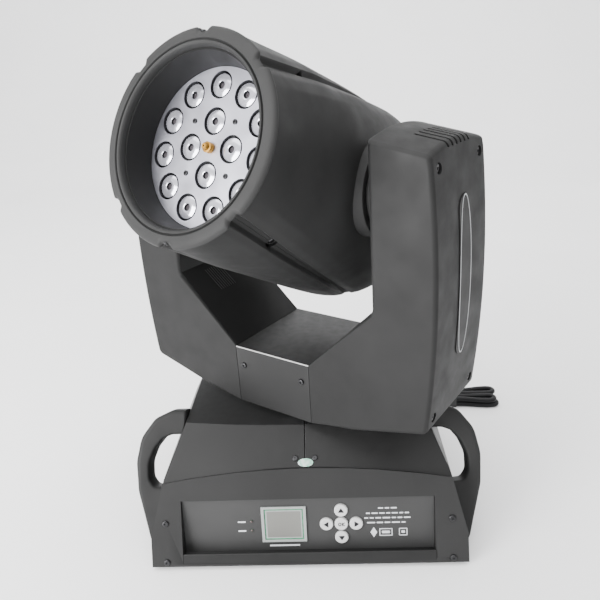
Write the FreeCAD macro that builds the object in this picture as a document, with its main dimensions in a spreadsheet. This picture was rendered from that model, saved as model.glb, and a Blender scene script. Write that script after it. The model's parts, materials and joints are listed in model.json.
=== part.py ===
import FreeCAD, Part
import math
import os
import re
import Sketcher
from FreeCAD import Placement, Rotation, Vector

# Moving head fog light.  Base frame: origin on the pan axis in the underside of the base, +Z up, front = -Y.
# The yoke frame is the base frame turned by pan_rest about Z; the head frame sits on the tilt axis with
# its front (-Y) tipped up by tilt_rest.

DRIVING = {
    "base_width": 340, "base_depth": 275.4, "skirt_height": 30.8, "shoulder_width": 310.6,
    "shoulder_height": 86, "crown_height": 98.7, "panel_lean": 20.2, "panel_sheet": 2.5,
    "cover_height": 130, "cover_width": 268, "cover_flat": 130, "cover_sheet": 2, "foot_height": 4.5,
    "foot_radius": 12, "foot_x": 140, "foot_y": 105, "pan_sheet": 2, "bolt_x": 53, "bolt_y": 60,
    "bolt_radius": 4.5, "recess_width": 272, "recess_top": 72.4, "recess_bottom": 4,
    "plate_lean": 9.4, "plate_width": 264.6, "plate_height": 62, "plate_sheet": 2, "plate_back": 0.2,
    "lcd_x": -25.7, "lcd_down": 30.2, "lcd_width": 48.8, "lcd_height": 42.1, "window_width": 42.2,
    "window_height": 36.5, "key_x": 36.3, "key_down": 30.8, "key_pitch": 16, "key_radius": 7.15,
    "key_clear": 0.45, "led_x": -61, "led_down": 26.5, "led_pitch": 10.8,
    "led_radius": 1.5, "frame_width": 246, "frame_depth": 100, "frame_top": 121, "frame_sheet": 3,
    "hub_radius": 30, "hub_bore": 20, "bearing_radius": 36, "bearing_clear": 0.05, "flange_radius": 46,
    "pan_motor_x": -82, "motor_size": 42, "pan_belt_base": 105, "pan_belt_wide": 6, "rim_radius": 45,
    "pinion_radius": 11, "belt_sheet": 1.5, "belt_clear": 0.3, "pan_rest": -32.9, "tilt_rest": 24,
    "tilt_height": 384.3, "yoke_depth": 120.8, "saddle_half": 49.1, "saddle_height": 208.7,
    "belly_height": 139.4, "elbow_x": 124, "elbow_height": 283.3, "arm_inner": 121.2,
    "arm_top_inner": 439, "arm_outer": 178.5, "arm_top_outer": 428.3, "arm_crown": 8, "arm_mid": 188,
    "arm_mid_height": 308, "arm_low": 181, "arm_low_height": 167.7, "yoke_wall": 3, "yoke_sheet": 1.5,
    "pivot_radius": 37, "trunnion_radius": 14, "tilt_bearing_radius": 26, "tilt_rim_radius": 34,
    "tilt_pinion_radius": 10, "tilt_motor_height": 290, "tilt_belt_x": 155, "lens_front": 130.9,
    "lens_plate_radius": 71.5, "inner_ring": 23.7, "outer_ring": 55.5, "lens_hole": 12.3,
    "lens_radius": 11, "screw_ring": 33, "bezel_front": 165, "bezel_radius": 90.5, "shell_wall": 6.5,
    "valley_depth": 4, "tail_back": 118, "tail_radius": 86, "chassis_half": 80, "chassis_tall": 45,
    "cord_diameter": 7.5,
}
INNER_LENSES = 4
OUTER_LENSES = 11
VALLEYS = (45, 90, 135, 225, 270, 315)
SEAM = 0.4

# Places across and up the end panels, in the plane of each panel.
PANEL_SCREW_EDGE = 16.5
PANEL_SCREW_HEIGHTS = (5.6, 45.5)
SOCKETS = (60, 100)
SOCKET_UP = 45
FUSE_ACROSS = -105
GLAND_ACROSS = -40
GLAND_UP = 26
KEYS = {
    "button_ok": ("key_x", "-key_down"),
    "button_up": ("key_x", "-key_down + key_pitch"),
    "button_down": ("key_x", "-key_down - key_pitch"),
    "button_left": ("key_x - key_pitch", "-key_down"),
    "button_right": ("key_x + key_pitch", "-key_down"),
}

# Yoke screws and the oval badges.
SADDLE_SCREW_X = 39
SADDLE_SCREW_Z = 187
ARM_ARC_TOP = "arm_top_outer + arm_crown"
ARM_SCREW_ACROSS = 46
ARM_SCREW_HEIGHTS = (181, 417)
BADGE_LOW = 229
BADGE_HIGH = 387
BADGE_HALF = 14
BADGE_SHIFT = 4

# Cord: length of the gland's sleeve, and the folded hank's ends, middle and size.
SLEEVE_LONG = 34
HANK_LEFT = 136
HANK_RIGHT = 284
HANK_Y = 190
HANK_WIDE = 38
HANK_TALL = 16
PLUG_Y = 181
LEAD_POINTS = [(40, 170, 39.5), (45, 187.3, 40.5), (54.5, 202.3, 36.3), (66.2, 212.7, 27), (77.4, 218, 13.7),
               (92.7, 220.6, 4.2), (110, 218.5, -0.7), (126.8, 211.5, -0.7), (HANK_LEFT + 5, 200, -0.7)]

doc = FreeCAD.newDocument("MovingHeadLight")
sheet = doc.addObject("Spreadsheet::Sheet", "Sizes")
for row, (alias, amount) in enumerate(DRIVING.items(), 1):
    sheet.set(f"A{row}", alias)
    sheet.set(f"B{row}", str(amount))
    sheet.setAlias(f"B{row}", alias)
doc.recompute()
pieces = []


def linked(text):
    """Expression text in which every word with an underscore is a cell of the sheet."""
    return re.sub(r"[a-z]+(?:_[a-z]+)+", lambda word: "Sizes." + word.group(0), str(text))


def value(text):
    return float(sheet.evalExpression(linked(text)))


def keep(piece, name, frame):
    """Name a finished sub-part, put it in its frame and list it for export."""
    piece.Label = name
    piece.Placement = frame
    pieces.append(piece)
    return piece


def new_body(name, frame):
    body = doc.addObject("PartDesign::Body", "Body_" + name)
    return keep(body, name, frame)


def solid_piece(name, frame, shape):
    """A sub-part whose shape no sketch feature makes; sizes are read from the sheet by value()."""
    piece = doc.addObject("Part::Feature", "Solid_" + name)
    piece.Shape = Part.makeCompound([shape])
    return keep(piece, name, frame)


def sketch_on(body, role, height=0):
    sketch = body.newObject("Sketcher::SketchObject", body.Name + "_Sketch")
    plane = next(item for item in body.Origin.OriginFeatures if item.Role == role)
    sketch.AttachmentSupport = [(plane, "")]
    sketch.MapMode = "FlatFace"
    if height != 0:
        sketch.setExpression("AttachmentOffset.Base.z", linked(height))
    return sketch


def locate(sketch, geometry, point, across, up):
    """Tie a point of the sketch to the origin by two dimensions."""
    for kind, text in (("DistanceX", across), ("DistanceY", up)):
        index = sketch.addConstraint(Sketcher.Constraint(kind, -1, 1, geometry, point, value(text)))
        if "_" in str(text):
            sketch.setExpression(f"Constraints[{index}]", linked(text))


def outline(sketch, corners, bulges=None):
    """Closed outline through the corners; bulges gives the height of the arc after a corner."""
    bulges = bulges or {}
    spots = [Vector(value(across), value(up), 0) for across, up in corners]
    first = sketch.GeometryCount
    for index, start in enumerate(spots):
        end = spots[(index + 1) % len(spots)]
        if index in bulges:
            chord = end - start
            side = Vector(chord.y, -chord.x, 0).normalize()
            middle = (start + end) * 0.5 + side * value(bulges[index])
            sketch.addGeometry(Part.Arc(start, middle, end))
        else:
            sketch.addGeometry(Part.LineSegment(start, end))
    for index, (across, up) in enumerate(corners):
        here = first + index
        after = first + (index + 1) % len(corners)
        near_start, near_end = edge_points(sketch, here, spots[index])
        next_start = edge_points(sketch, after, spots[(index + 1) % len(corners)])[0]
        sketch.addConstraint(Sketcher.Constraint("Coincident", here, near_end, after, next_start))
        locate(sketch, here, near_start, across, up)
        if index in bulges:
            radius = sketch.Geometry[here].Radius
            sketch.addConstraint(Sketcher.Constraint("Radius", here, radius))


def edge_points(sketch, index, start):
    """Which ends (1 or 2) of an edge lie at its start and at its finish."""
    edge = sketch.Geometry[index]
    if edge.StartPoint.distanceToPoint(start) < 1e-4:
        return 1, 2
    return 2, 1


def ring(sketch, across, up, radius):
    middle = Vector(value(across), value(up), 0)
    index = sketch.addGeometry(Part.Circle(middle, Vector(0, 0, 1), value(radius)))
    locate(sketch, index, 3, across, up)
    size = sketch.addConstraint(Sketcher.Constraint("Radius", index, value(radius)))
    if "_" in str(radius):
        sketch.setExpression(f"Constraints[{size}]", linked(radius))


def block(sketch, across, up, wide, tall):
    """Rectangle by its centre and its two sizes."""
    left, right = f"({across}) - ({wide}) / 2", f"({across}) + ({wide}) / 2"
    low, high = f"({up}) - ({tall}) / 2", f"({up}) + ({tall}) / 2"
    outline(sketch, [(left, low), (right, low), (right, high), (left, high)])


def feature(body, kind, sketch, length, centred=False, turned=False):
    item = body.newObject("PartDesign::" + kind, body.Name + "_" + kind)
    item.Profile = sketch
    item.setExpression("Length", linked(length))
    item.SideType = "Symmetric" if centred else "One side"
    item.Reversed = turned
    return item


def pad(body, sketch, length, centred=False, turned=False):
    return feature(body, "Pad", sketch, length, centred, turned)


def pocket(body, sketch, length, centred=False, turned=False):
    """Cut, and stop if the cut misses the solid."""
    doc.recompute()
    before = body.Shape.Volume
    item = feature(body, "Pocket", sketch, length, centred, turned)
    doc.recompute()
    if body.Shape.Volume > before - 0.01:
        raise RuntimeError(body.Label + ": a pocket cuts nothing")
    return item


def turned_body(name, frame, role, axis, profile):
    """Body of revolution about the sketch's H_Axis or V_Axis."""
    body = new_body(name, frame)
    sketch = sketch_on(body, role)
    outline(sketch, profile)
    turn = body.newObject("PartDesign::Revolution", body.Name + "_Turn")
    turn.Profile = sketch
    turn.ReferenceAxis = (sketch, [axis])
    turn.Angle = 360
    return body


def polar(radius, degrees):
    return f"({radius}) * cos({degrees})", f"({radius}) * sin({degrees})"


def screw(point, direction, head_radius, head_tall, shank_radius, shank_long):
    """Pan head screw: head stands out along the direction, shank goes in."""
    outward = Vector(direction).normalize()
    head = Part.makeCylinder(head_radius, head_tall, point, outward)
    rim = [edge for edge in head.Edges if abs((edge.CenterOfMass - point).dot(outward) - head_tall) < 1e-6]
    head = head.makeFillet(head_tall * 0.6, [edge for edge in rim if edge.Closed][:1])
    bottom = point + outward * head_tall * 0.5
    socket = Part.makeCylinder(head_radius * 0.35, head_tall * 0.6, bottom, outward)
    shank = Part.makeCylinder(shank_radius, shank_long, point, outward * -1)
    return head.cut(socket).fuse(shank).removeSplitter()


def belt_fill(radius, span, other_radius, wide):
    """Solid inside a belt round a disc at the origin and another at span along X, standing along Z."""
    lean = math.acos((radius - other_radius) / abs(span))
    sides = []
    for start, size in ((0, radius), (span, other_radius)):
        across = math.copysign(size * math.cos(lean), span)
        sides.append([Vector(start + across, sign * size * math.sin(lean), 0) for sign in (1, -1)])
    web = prism([sides[0][0], sides[1][0], sides[1][1], sides[0][1]], Vector(0, 0, wide))
    discs = [Part.makeCylinder(radius, wide), Part.makeCylinder(other_radius, wide, Vector(span, 0, 0))]
    return web.fuse(discs).removeSplitter()


def belt(radius, span, other_radius, wide):
    """Closed belt with its inner side just clear of the two rims."""
    clear, thick = value("belt_clear"), value("belt_sheet")
    outer = belt_fill(radius + clear + thick, span, other_radius + clear + thick, wide)
    return outer.cut(belt_fill(radius + clear, span, other_radius + clear, wide))


def prism(points, direction, bulges=None):
    """Solid swept along a direction from a closed outline of points; bulges maps a side to its mid point."""
    bulges = bulges or {}
    edges = []
    for index, start in enumerate(points):
        end = points[(index + 1) % len(points)]
        if index in bulges:
            edges.append(Part.Arc(start, bulges[index], end).toShape())
        else:
            edges.append(Part.LineSegment(start, end).toShape())
    return Part.Face(Part.Wire(edges)).extrude(direction)


BASE = Placement()
PANEL_GAP = value("panel_sheet / cos(panel_lean)") + 0.15
FRONT = Placement(Vector(0, -value("base_depth / 2"), 0), Rotation(Vector(1, 0, 0), -value("panel_lean")))
REAR = Placement(Vector(), Rotation(Vector(0, 0, 1), 180)) * FRONT
PLATE_TOP = Vector(0, value("panel_sheet + 0.1"), value("recess_top - plate_back"))
PLATE_TURN = Rotation(Vector(1, 0, 0), value("panel_lean - plate_lean"))
PLATE = FRONT * Placement(PLATE_TOP, PLATE_TURN)
YOKE = Placement(Vector(), Rotation(Vector(0, 0, 1), value("pan_rest")))
HEAD = YOKE * Placement(Vector(0, 0, value("tilt_height")), Rotation(Vector(1, 0, 0), -value("tilt_rest")))


# ---------------------------------------------------------------- base: floor, end panels, covers
def base_floor():
    body = new_body("base_pan", BASE)
    sketch = sketch_on(body, "XY_Plane")
    block(sketch, 0, 0, "base_width - 5", "base_depth - 15.4")
    for side in (-1, 1):
        for end in (-1, 1):
            ring(sketch, f"{side} * bolt_x", f"{end} * bolt_y", "bolt_radius")
            ring(sketch, f"{side} * foot_x", f"{end} * foot_y", 2.2)
    pad(body, sketch, "pan_sheet")
    feet = new_body("feet", BASE)
    pegs = sketch_on(feet, "XY_Plane")
    shanks = sketch_on(feet, "XY_Plane")
    for side in (-1, 1):
        for end in (-1, 1):
            ring(pegs, f"{side} * foot_x", f"{end} * foot_y", "foot_radius")
            ring(shanks, f"{side} * foot_x", f"{end} * foot_y", 2)
    pad(feet, pegs, "foot_height", turned=True)
    pad(feet, shanks, "pan_sheet + 3")


def up_panel(height):
    """Distance up the leaning end panel of a height above the base's underside."""
    return f"({height}) / cos(panel_lean)"


def end_panel(name, frame):
    """Hexagonal end panel with a crowned top edge, in the plane of its outer face."""
    body = new_body(name, frame)
    sketch = sketch_on(body, "XZ_Plane")
    half, shoulder = "base_width / 2", "shoulder_width / 2"
    foot = "panel_sheet * tan(panel_lean)"
    skirt, brim = up_panel("skirt_height"), up_panel("shoulder_height")
    corners = [(f"-{half}", foot), (half, foot), (half, skirt), (shoulder, brim), (f"-{shoulder}", brim),
               (f"-{half}", skirt)]
    outline(sketch, corners, {3: up_panel("crown_height - shoulder_height")})
    for side in (-1, 1):
        for height in PANEL_SCREW_HEIGHTS:
            ring(sketch, f"{side} * (base_width / 2 - {PANEL_SCREW_EDGE})", up_panel(height), 1.7)
    return body, sketch


def front_panel():
    """Front panel with the recess for the control plate: side walls, top lip and sloping ledge."""
    body, sketch = end_panel("front_panel", FRONT)
    block(sketch, 0, "(recess_top + recess_bottom) / 2", "recess_width", "recess_top - recess_bottom")
    pad(body, sketch, "panel_sheet", turned=True)
    back = value("plate_height") * math.sin(math.radians(value("panel_lean - plate_lean")))
    drop = value("plate_height") * math.cos(math.radians(value("panel_lean - plate_lean")))
    foot_y, foot_v = back + value("panel_sheet") + 0.1, value("recess_top") - drop
    tray = sketch_on(body, "YZ_Plane")
    outline(tray, [("panel_sheet - 0.5", "recess_top + 2"), ("panel_sheet - 0.5", "recess_bottom - 1.2"),
                   (foot_y, foot_v - 1.4), (foot_y + 3, foot_v - 1), (foot_y + 2.2, foot_v + 1),
                   ("panel_sheet + 2.6", "recess_top + 2")])
    pad(body, tray, "recess_width + 4", centred=True)
    hollow = sketch_on(body, "YZ_Plane")
    outline(hollow, [(-1, "recess_top"), (-1, "recess_bottom"), ("panel_sheet", "recess_bottom"),
                     (foot_y, foot_v - 0.2), (foot_y + 5, foot_v - 0.2), (foot_y + 5, "recess_top")])
    pocket(body, hollow, "recess_width", centred=True)


def rear_panel():
    """Rear panel with holes for the signal sockets, the fuse and the cord gland."""
    body, sketch = end_panel("rear_panel", REAR)
    for across in SOCKETS:
        ring(sketch, across, SOCKET_UP, 12.2)
    ring(sketch, FUSE_ACROSS, SOCKET_UP, 7.2)
    ring(sketch, GLAND_ACROSS, GLAND_UP, 8.2)
    for slot in range(7):
        block(sketch, 8, f"30 + {slot} * 6", 48, 3)
    pad(body, sketch, "panel_sheet", turned=True)


def rear_sockets():
    """Two round signal sockets with square flanges and a fuse holder."""
    body = new_body("rear_sockets", REAR)
    flanges = sketch_on(body, "XZ_Plane")
    barrels = sketch_on(body, "XZ_Plane")
    for across in SOCKETS:
        block(flanges, across, SOCKET_UP, 26, 31)
        ring(barrels, across, SOCKET_UP, 12)
    ring(flanges, FUSE_ACROSS, SOCKET_UP, 9)
    ring(barrels, FUSE_ACROSS, SOCKET_UP, 7)
    pad(body, flanges, 2)
    pad(body, barrels, 22, turned=True)
    bores = sketch_on(body, "XZ_Plane", 2)
    for across in SOCKETS:
        ring(bores, across, SOCKET_UP, 9)
    pocket(body, bores, 14)


def cover_block(inset, end_gap):
    """Solid under the sheet cover: faces moved in by inset, ends end_gap behind the panels' outer faces."""
    wall, shoulder = value("base_width / 2") - inset, value("shoulder_width / 2") - inset
    ridge, top = value("cover_width / 2") - inset, value("cover_height") - inset
    skirt_z, shoulder_z, crown = value("skirt_height"), value("shoulder_height"), value("crown_height")
    low = -1 if inset else 0
    half_section = [(wall, low), (wall, skirt_z), (shoulder, shoulder_z), (ridge, top)]
    section = half_section + [(-x, z) for x, z in reversed(half_section)]
    body = prism([Vector(x, -200, z) for x, z in section], Vector(0, 400, 0))
    lean = math.tan(math.radians(value("panel_lean")))
    foot = value("base_depth / 2") - end_gap
    front = value("base_depth / 2") - PANEL_GAP - lean * crown
    rise = Vector(0, front - value("cover_flat / 2"), value("cover_height") - crown)
    end = prism([Vector(-200, -foot + lean * low, low), Vector(-200, -foot + lean * 200, 200),
                 Vector(-200, 300, 200), Vector(-200, 300, low)], Vector(400, 0, 0))
    brim = shoulder_z - inset
    roof = [(-shoulder - 60, -300), (shoulder + 60, -300), (shoulder + 60, brim - 0.01), (shoulder, brim),
            (-shoulder, brim), (-shoulder - 60, brim - 0.01)]
    arch = prism([Vector(x, -front, z) for x, z in roof], rise * 15, {3: Vector(0, -front, crown - inset)})
    arch.translate(rise * -3)
    for cutter in (end, arch):
        body = body.common(cutter)
        cutter.rotate(Vector(), Vector(0, 0, 1), 180)
        body = body.common(cutter)
    return body


def covers():
    """Sheet cover in a left and a right half that meet along a seam over the pan axis."""
    shell = cover_block(0, PANEL_GAP).cut(cover_block(value("cover_sheet"), -5))
    collar = Part.makeCylinder(value("bearing_radius") + 3, 40, Vector(0, 0, value("cover_height") - 20))
    shell = shell.cut(collar)
    for name, edge in (("cover_left", -200), ("cover_right", SEAM / 2)):
        half = Part.makeBox(200 - SEAM / 2, 400, 200, Vector(edge, -200, -1))
        solid_piece(name, BASE, max(shell.common(half).Solids, key=lambda solid: solid.Volume))


def wall_x(height):
    """Outer face of the cover's side wall at a height above the skirt."""
    low, high = value("skirt_height"), value("shoulder_height")
    if height <= high:
        part = (height - low) / (high - low)
        return value("base_width / 2") * (1 - part) + value("shoulder_width / 2") * part
    part = (height - high) / (value("cover_height") - high)
    return value("shoulder_width / 2") * (1 - part) + value("cover_width / 2") * part


def handle(name, side):
    """Carrying handle: a leaning bow that springs from the skirt and ends at the top of the side wall."""
    body = new_body(name, BASE)
    sketch = sketch_on(body, "XZ_Plane")
    gap = 0.1
    bow = [(wall_x(9) + gap, 9), (wall_x(14) + 2, 9.5), (183, 34), (193, 62), (196, 90), (188, 111),
           (170, 129), (148, 134.5), (wall_x(129) + 1.5, 134.5), (wall_x(129) + gap, 129),
           (wall_x(86) + gap, 86), (wall_x(30.8) + gap, 30.8)]
    if side > 0:
        outline(sketch, [(x, z) for x, z in bow], {2: 0.8, 3: 1.6, 4: 2.4, 5: 2.4, 6: 1.5})
    else:
        outline(sketch, [(-x, z) for x, z in reversed(bow)], {4: 1.5, 5: 2.4, 6: 2.4, 7: 1.6, 8: 0.8})
    eye = [(wall_x(66) + gap + 1.5, 66), (174, 66.5), (181, 74), (180.5, 86), (173, 103), (164, 112),
           (156, 115), (wall_x(115) + gap + 1.5, 115), (wall_x(86) + gap + 1.5, 86)]
    if side > 0:
        outline(sketch, eye, {1: 1.6, 3: 1.0, 4: 1.0})
    else:
        outline(sketch, [(-x, z) for x, z in reversed(eye)], {3: 1.0, 4: 1.0, 6: 1.6})
    pad(body, sketch, 300, centred=True)
    trim = sketch_on(body, "YZ_Plane")
    outline(trim, [(-260, -40), (260, -40), (260, 200), (-260, 200)])
    outline(trim, [(-119, 8), (-88, 8), (-13, 124), (-12, 133), (-20, 136), (-36, 136), (-47, 130)])
    pocket(body, trim, 500, centred=True)


def base_screws():
    """Panel screws at the ends and the cover screws beside the seam."""
    shapes = []
    for frame in (FRONT, REAR):
        outward = frame.Rotation.multVec(Vector(0, -1, 0))
        for side in (-1, 1):
            for height in PANEL_SCREW_HEIGHTS:
                across = side * (value("base_width / 2") - PANEL_SCREW_EDGE)
                spot = Vector(across, 0, value(up_panel(height)))
                shapes.append(screw(frame.multVec(spot), outward, 3.4, 1.8, 1.5, 5))
    crown = value("crown_height")
    lean = math.tan(math.radians(value("panel_lean")))
    front = value("base_depth / 2") - PANEL_GAP - lean * crown
    rise = Vector(0, front - value("cover_flat / 2"), value("cover_height") - crown).normalize()
    outward = Vector(0, -rise.z, rise.y)
    for turn in (0, 180):
        spin = Rotation(Vector(0, 0, 1), turn)
        for side in (-1, 1):
            spot = Vector(side * 10.5, -front, crown) + rise * 9
            shapes.append(screw(spin.multVec(spot), spin.multVec(outward), 3, 1.4, 1.3, 1.9))
    solid_piece("base_screws", BASE, Part.makeCompound(shapes))


# ---------------------------------------------------------------- base: control plate
def control_plate():
    body = new_body("control_plate", PLATE)
    sketch = sketch_on(body, "XZ_Plane")
    block(sketch, 0, "-plate_height / 2 - 0.2", "plate_width", "plate_height - 0.6")
    block(sketch, "lcd_x", "-lcd_down", "window_width + 1", "window_height + 1")
    for across, down in KEYS.values():
        ring(sketch, across, down, "key_radius + key_clear")
    for count in range(2):
        ring(sketch, "led_x", f"-led_down - {count} * led_pitch", "led_radius + 0.1")
    pad(body, sketch, "plate_sheet", turned=True)


def buttons():
    """Round caps with a retaining flange behind the plate and a stem over a switch."""
    flange, behind = "key_pitch / 2 - 0.3", "plate_sheet + 0.4"
    profile = [(0, -2.6), ("key_radius - 0.8", -2.6), ("key_radius", -1.8), ("key_radius", behind),
               (flange, behind), (flange, "plate_sheet + 1.6"), (2, "plate_sheet + 1.6"), (2, 5.4), (0, 5.4)]
    for name, (across, down) in KEYS.items():
        frame = PLATE * Placement(Vector(value(across), 0, value(down)), Rotation())
        turned_body(name, frame, "XY_Plane", "V_Axis", profile)


def display():
    """LCD surround on the plate, and the board behind it with screen, switches and status lamps."""
    surround = new_body("lcd_frame", PLATE)
    sketch = sketch_on(surround, "XZ_Plane", 0)
    block(sketch, "lcd_x", "-lcd_down", "lcd_width", "lcd_height")
    block(sketch, "lcd_x", "-lcd_down", "window_width", "window_height")
    pad(surround, sketch, 1.8)
    board = new_body("display_board", PLATE)
    card = sketch_on(board, "XZ_Plane", -6.8)
    block(card, 0, "-lcd_down - 1", 160, 52)
    pad(board, card, 1.6, turned=True)
    screen = sketch_on(board, "XZ_Plane", 0.9)
    block(screen, "lcd_x", "-lcd_down", "window_width - 0.4", "window_height - 0.4")
    pad(board, screen, 7.8, turned=True)
    lamps = sketch_on(board, "XZ_Plane", 0.8)
    for count in range(2):
        ring(lamps, "led_x", f"-led_down - {count} * led_pitch", "led_radius")
    pad(board, lamps, 7.7, turned=True)


# ---------------------------------------------------------------- base: chassis, pan drive, power
def chassis():
    """Steel bridge over the base that carries the pan bearing, with a shelf for the pan motor."""
    body = new_body("base_frame", BASE)
    sketch = sketch_on(body, "XZ_Plane")
    half, inner = "frame_width / 2", "frame_width / 2 - frame_sheet"
    outline(sketch, [(f"-{half}", "pan_sheet"), (f"-({inner})", "pan_sheet"),
                     (f"-({inner})", "frame_top - frame_sheet"), (inner, "frame_top - frame_sheet"),
                     (inner, "pan_sheet"), (half, "pan_sheet"), (half, "frame_top"),
                     (f"-{half}", "frame_top")])
    pad(body, sketch, "frame_depth", centred=True)
    shelf = sketch_on(body, "XY_Plane", "pan_belt_base - 5")
    shelf_middle = "(pan_motor_x + 23 - frame_width / 2) / 2"
    block(shelf, shelf_middle, 0, "frame_width / 2 + pan_motor_x + 23", 48)
    pad(body, shelf, "frame_sheet - 0.5")
    bore = sketch_on(body, "XY_Plane", "frame_top")
    ring(bore, 0, 0, "bearing_radius")
    pocket(body, bore, 10)
    boss = sketch_on(body, "XY_Plane", "pan_belt_base - 1")
    ring(boss, "pan_motor_x", 0, 11.5)
    pocket(body, boss, 6)
    turned_body("pan_bearing", BASE, "XZ_Plane", "V_Axis", [
        ("hub_radius + bearing_clear", "frame_top - 8"), ("bearing_radius", "frame_top - 8"),
        ("bearing_radius", "frame_top + 9"), ("hub_radius + bearing_clear", "frame_top + 9")])


def stepper(name, frame, tall, boss_tall):
    """Square motor with cut corners; its front face lies in the frame's XY plane, boss on top, bore below."""
    body = new_body(name, frame)
    sketch = sketch_on(body, "XY_Plane")
    half, cut = "motor_size / 2", "motor_size / 2 - 4"
    outline(sketch, [(f"-({cut})", f"-{half}"), (cut, f"-{half}"), (half, f"-({cut})"), (half, cut),
                     (cut, half), (f"-({cut})", half), (f"-{half}", cut), (f"-{half}", f"-({cut})")])
    pad(body, sketch, tall, turned=True)
    boss = sketch_on(body, "XY_Plane")
    ring(boss, 0, 0, 11)
    pad(body, boss, boss_tall)
    bore = sketch_on(body, "XY_Plane", boss_tall)
    ring(bore, 0, 0, 2.6)
    pocket(body, bore, f"{boss_tall} + 10")


def pan_drive():
    motor_top = value("pan_belt_base") - 5
    place = Placement(Vector(value("pan_motor_x"), 0, motor_top), Rotation())
    stepper("pan_motor", place, 38, 1.5)
    turned_body("pan_motor_pulley", place, "XZ_Plane", "V_Axis", [
        (0, -6), (2.5, -6), (2.5, 4), ("pinion_radius + 1.5", 4), ("pinion_radius + 1.5", 4.7),
        ("pinion_radius", 4.7), ("pinion_radius", 11.3), ("pinion_radius + 1.5", 11.3),
        ("pinion_radius + 1.5", 12), (0, 12)])
    loop = belt(value("rim_radius"), value("pan_motor_x"), value("pinion_radius"), value("pan_belt_wide"))
    loop.translate(Vector(0, 0, value("pan_belt_base")))
    solid_piece("pan_belt", BASE, loop)


def power_supply():
    """Folded metal case with rows of slots in its lid."""
    body = new_body("power_supply", BASE)
    sketch = sketch_on(body, "XY_Plane", "pan_sheet")
    block(sketch, -5, 64, 130, 62)
    pad(body, sketch, 40)
    slots = sketch_on(body, "XY_Plane", "pan_sheet + 40")
    for row in range(2):
        for count in range(9):
            block(slots, -53 + 12 * count, 52 + 24 * row, 4, 16)
    pocket(body, slots, 2)


def fluid_tank():
    """Fog fluid bottle with a neck."""
    body = new_body("fluid_tank", BASE)
    sketch = sketch_on(body, "XY_Plane", "pan_sheet")
    block(sketch, 75, -22, 78, 100)
    pad(body, sketch, 84)
    neck = sketch_on(body, "XY_Plane", "pan_sheet + 84")
    ring(neck, 85, -40, 13)
    pad(body, neck, 9)


# ---------------------------------------------------------------- power cord
def gland():
    """Cord gland: nut and thread in the panel, dome and tapered sleeve outside."""
    place = REAR * Placement(Vector(GLAND_ACROSS, 0, GLAND_UP), Rotation())
    turned_body("cord_gland", place, "XY_Plane", "V_Axis", [
        ("cord_diameter / 2 + 0.01", -SLEEVE_LONG), ("cord_diameter / 2 + 1.4", -SLEEVE_LONG),
        ("cord_diameter / 2 + 3.2", -14), (10, -11), (11, -6), (11, 0), (8, 0), (8, 8), (11, 8), (11, 12),
        ("cord_diameter / 2 + 0.01", 12)])


def cord_route(exit_spot, points):
    """Straight runs joined by tangent arcs; prints the arc radii."""
    route = [exit_spot] + [Vector(*point) for point in points]
    edges = []
    here = route[0]
    radii = []
    for index in range(1, len(route) - 1):
        before, corner, after = route[index - 1], route[index], route[index + 1]
        arm_in, arm_out = (before - corner), (after - corner)
        half = (math.pi - arm_in.getAngle(arm_out)) / 2
        back = 0.45 * min(arm_in.Length, arm_out.Length)
        radii.append(back / math.tan(half))
        start = corner + arm_in.normalize() * back
        end = corner + arm_out.normalize() * back
        middle_way = (start + end) * 0.5 - corner
        centre = corner + middle_way.normalize() * (back / math.sin(half))
        middle = centre + (corner - centre).normalize() * radii[-1]
        edges.append(Part.LineSegment(here, start).toShape())
        edges.append(Part.Arc(start, middle, end).toShape())
        here = end
    edges.append(Part.LineSegment(here, route[-1]).toShape())
    print("cord arc radii, mm:", [round(radius) for radius in radii])
    return Part.Wire(edges)


def cord_lead():
    place = REAR * Placement(Vector(GLAND_ACROSS, 0, GLAND_UP), Rotation())
    outward = place.Rotation.multVec(Vector(0, -1, 0))
    exit_spot = place.multVec(Vector(0, -SLEEVE_LONG + 8, 0))
    wire = cord_route(exit_spot, LEAD_POINTS)
    radius = value("cord_diameter / 2")
    section = Part.Wire(Part.makeCircle(radius, exit_spot, Vector(*LEAD_POINTS[0]) - exit_spot))
    tube = wire.makePipeShell([section], True, False)
    share = tube.Volume / (math.pi * radius ** 2 * wire.Length)
    print("cord lead length, mm:", round(wire.Length), "volume share:", round(share, 3))
    solid_piece("cord_lead", BASE, tube)


def hank():
    """Folded part of the cord, the tie round its middle and the plug at its left end."""
    low = -value("foot_height")
    corner = Vector(HANK_LEFT, HANK_Y - HANK_WIDE / 2, low)
    box = Part.makeBox(HANK_RIGHT - HANK_LEFT, HANK_WIDE, HANK_TALL, corner)
    upright = [edge for edge in box.Edges if abs(edge.tangentAt(edge.FirstParameter).z) > 0.99]
    body = box.makeFillet(HANK_WIDE / 2 - 2, upright)
    rims = [edge for edge in body.Edges if abs(edge.BoundBox.ZLength) < 1e-6]
    body = body.makeFillet(3.6, rims)
    solid_piece("cord_hank", BASE, body)
    middle = (HANK_LEFT + HANK_RIGHT) / 2
    inner = body.common(Part.makeBox(24, 80, 60, Vector(middle - 12, HANK_Y - 40, low - 5)))
    outer = inner.makeOffsetShape(1.4, 0.01, join=2)
    band = outer.common(Part.makeBox(16, 80, 60, Vector(middle - 8, HANK_Y - 40, low)))
    solid_piece("cord_tie", BASE, band.cut(body).Solids[0])


def plug():
    """Two-part plug: moulded grip and a round pin, lying at the hank's left end."""
    place = Placement(Vector(HANK_LEFT + 6, PLUG_Y, 6), Rotation(Vector(0, 0, 1), 90))
    turned_body("power_plug", place, "XY_Plane", "V_Axis", [
        (0, 0), ("cord_diameter / 2 + 0.8", 0), ("cord_diameter / 2 + 2", 24), (9.6, 32), (10.5, 40),
        (10.5, 50), (9, 54), (3, 54), (3, 70), (0, 70)])


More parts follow.
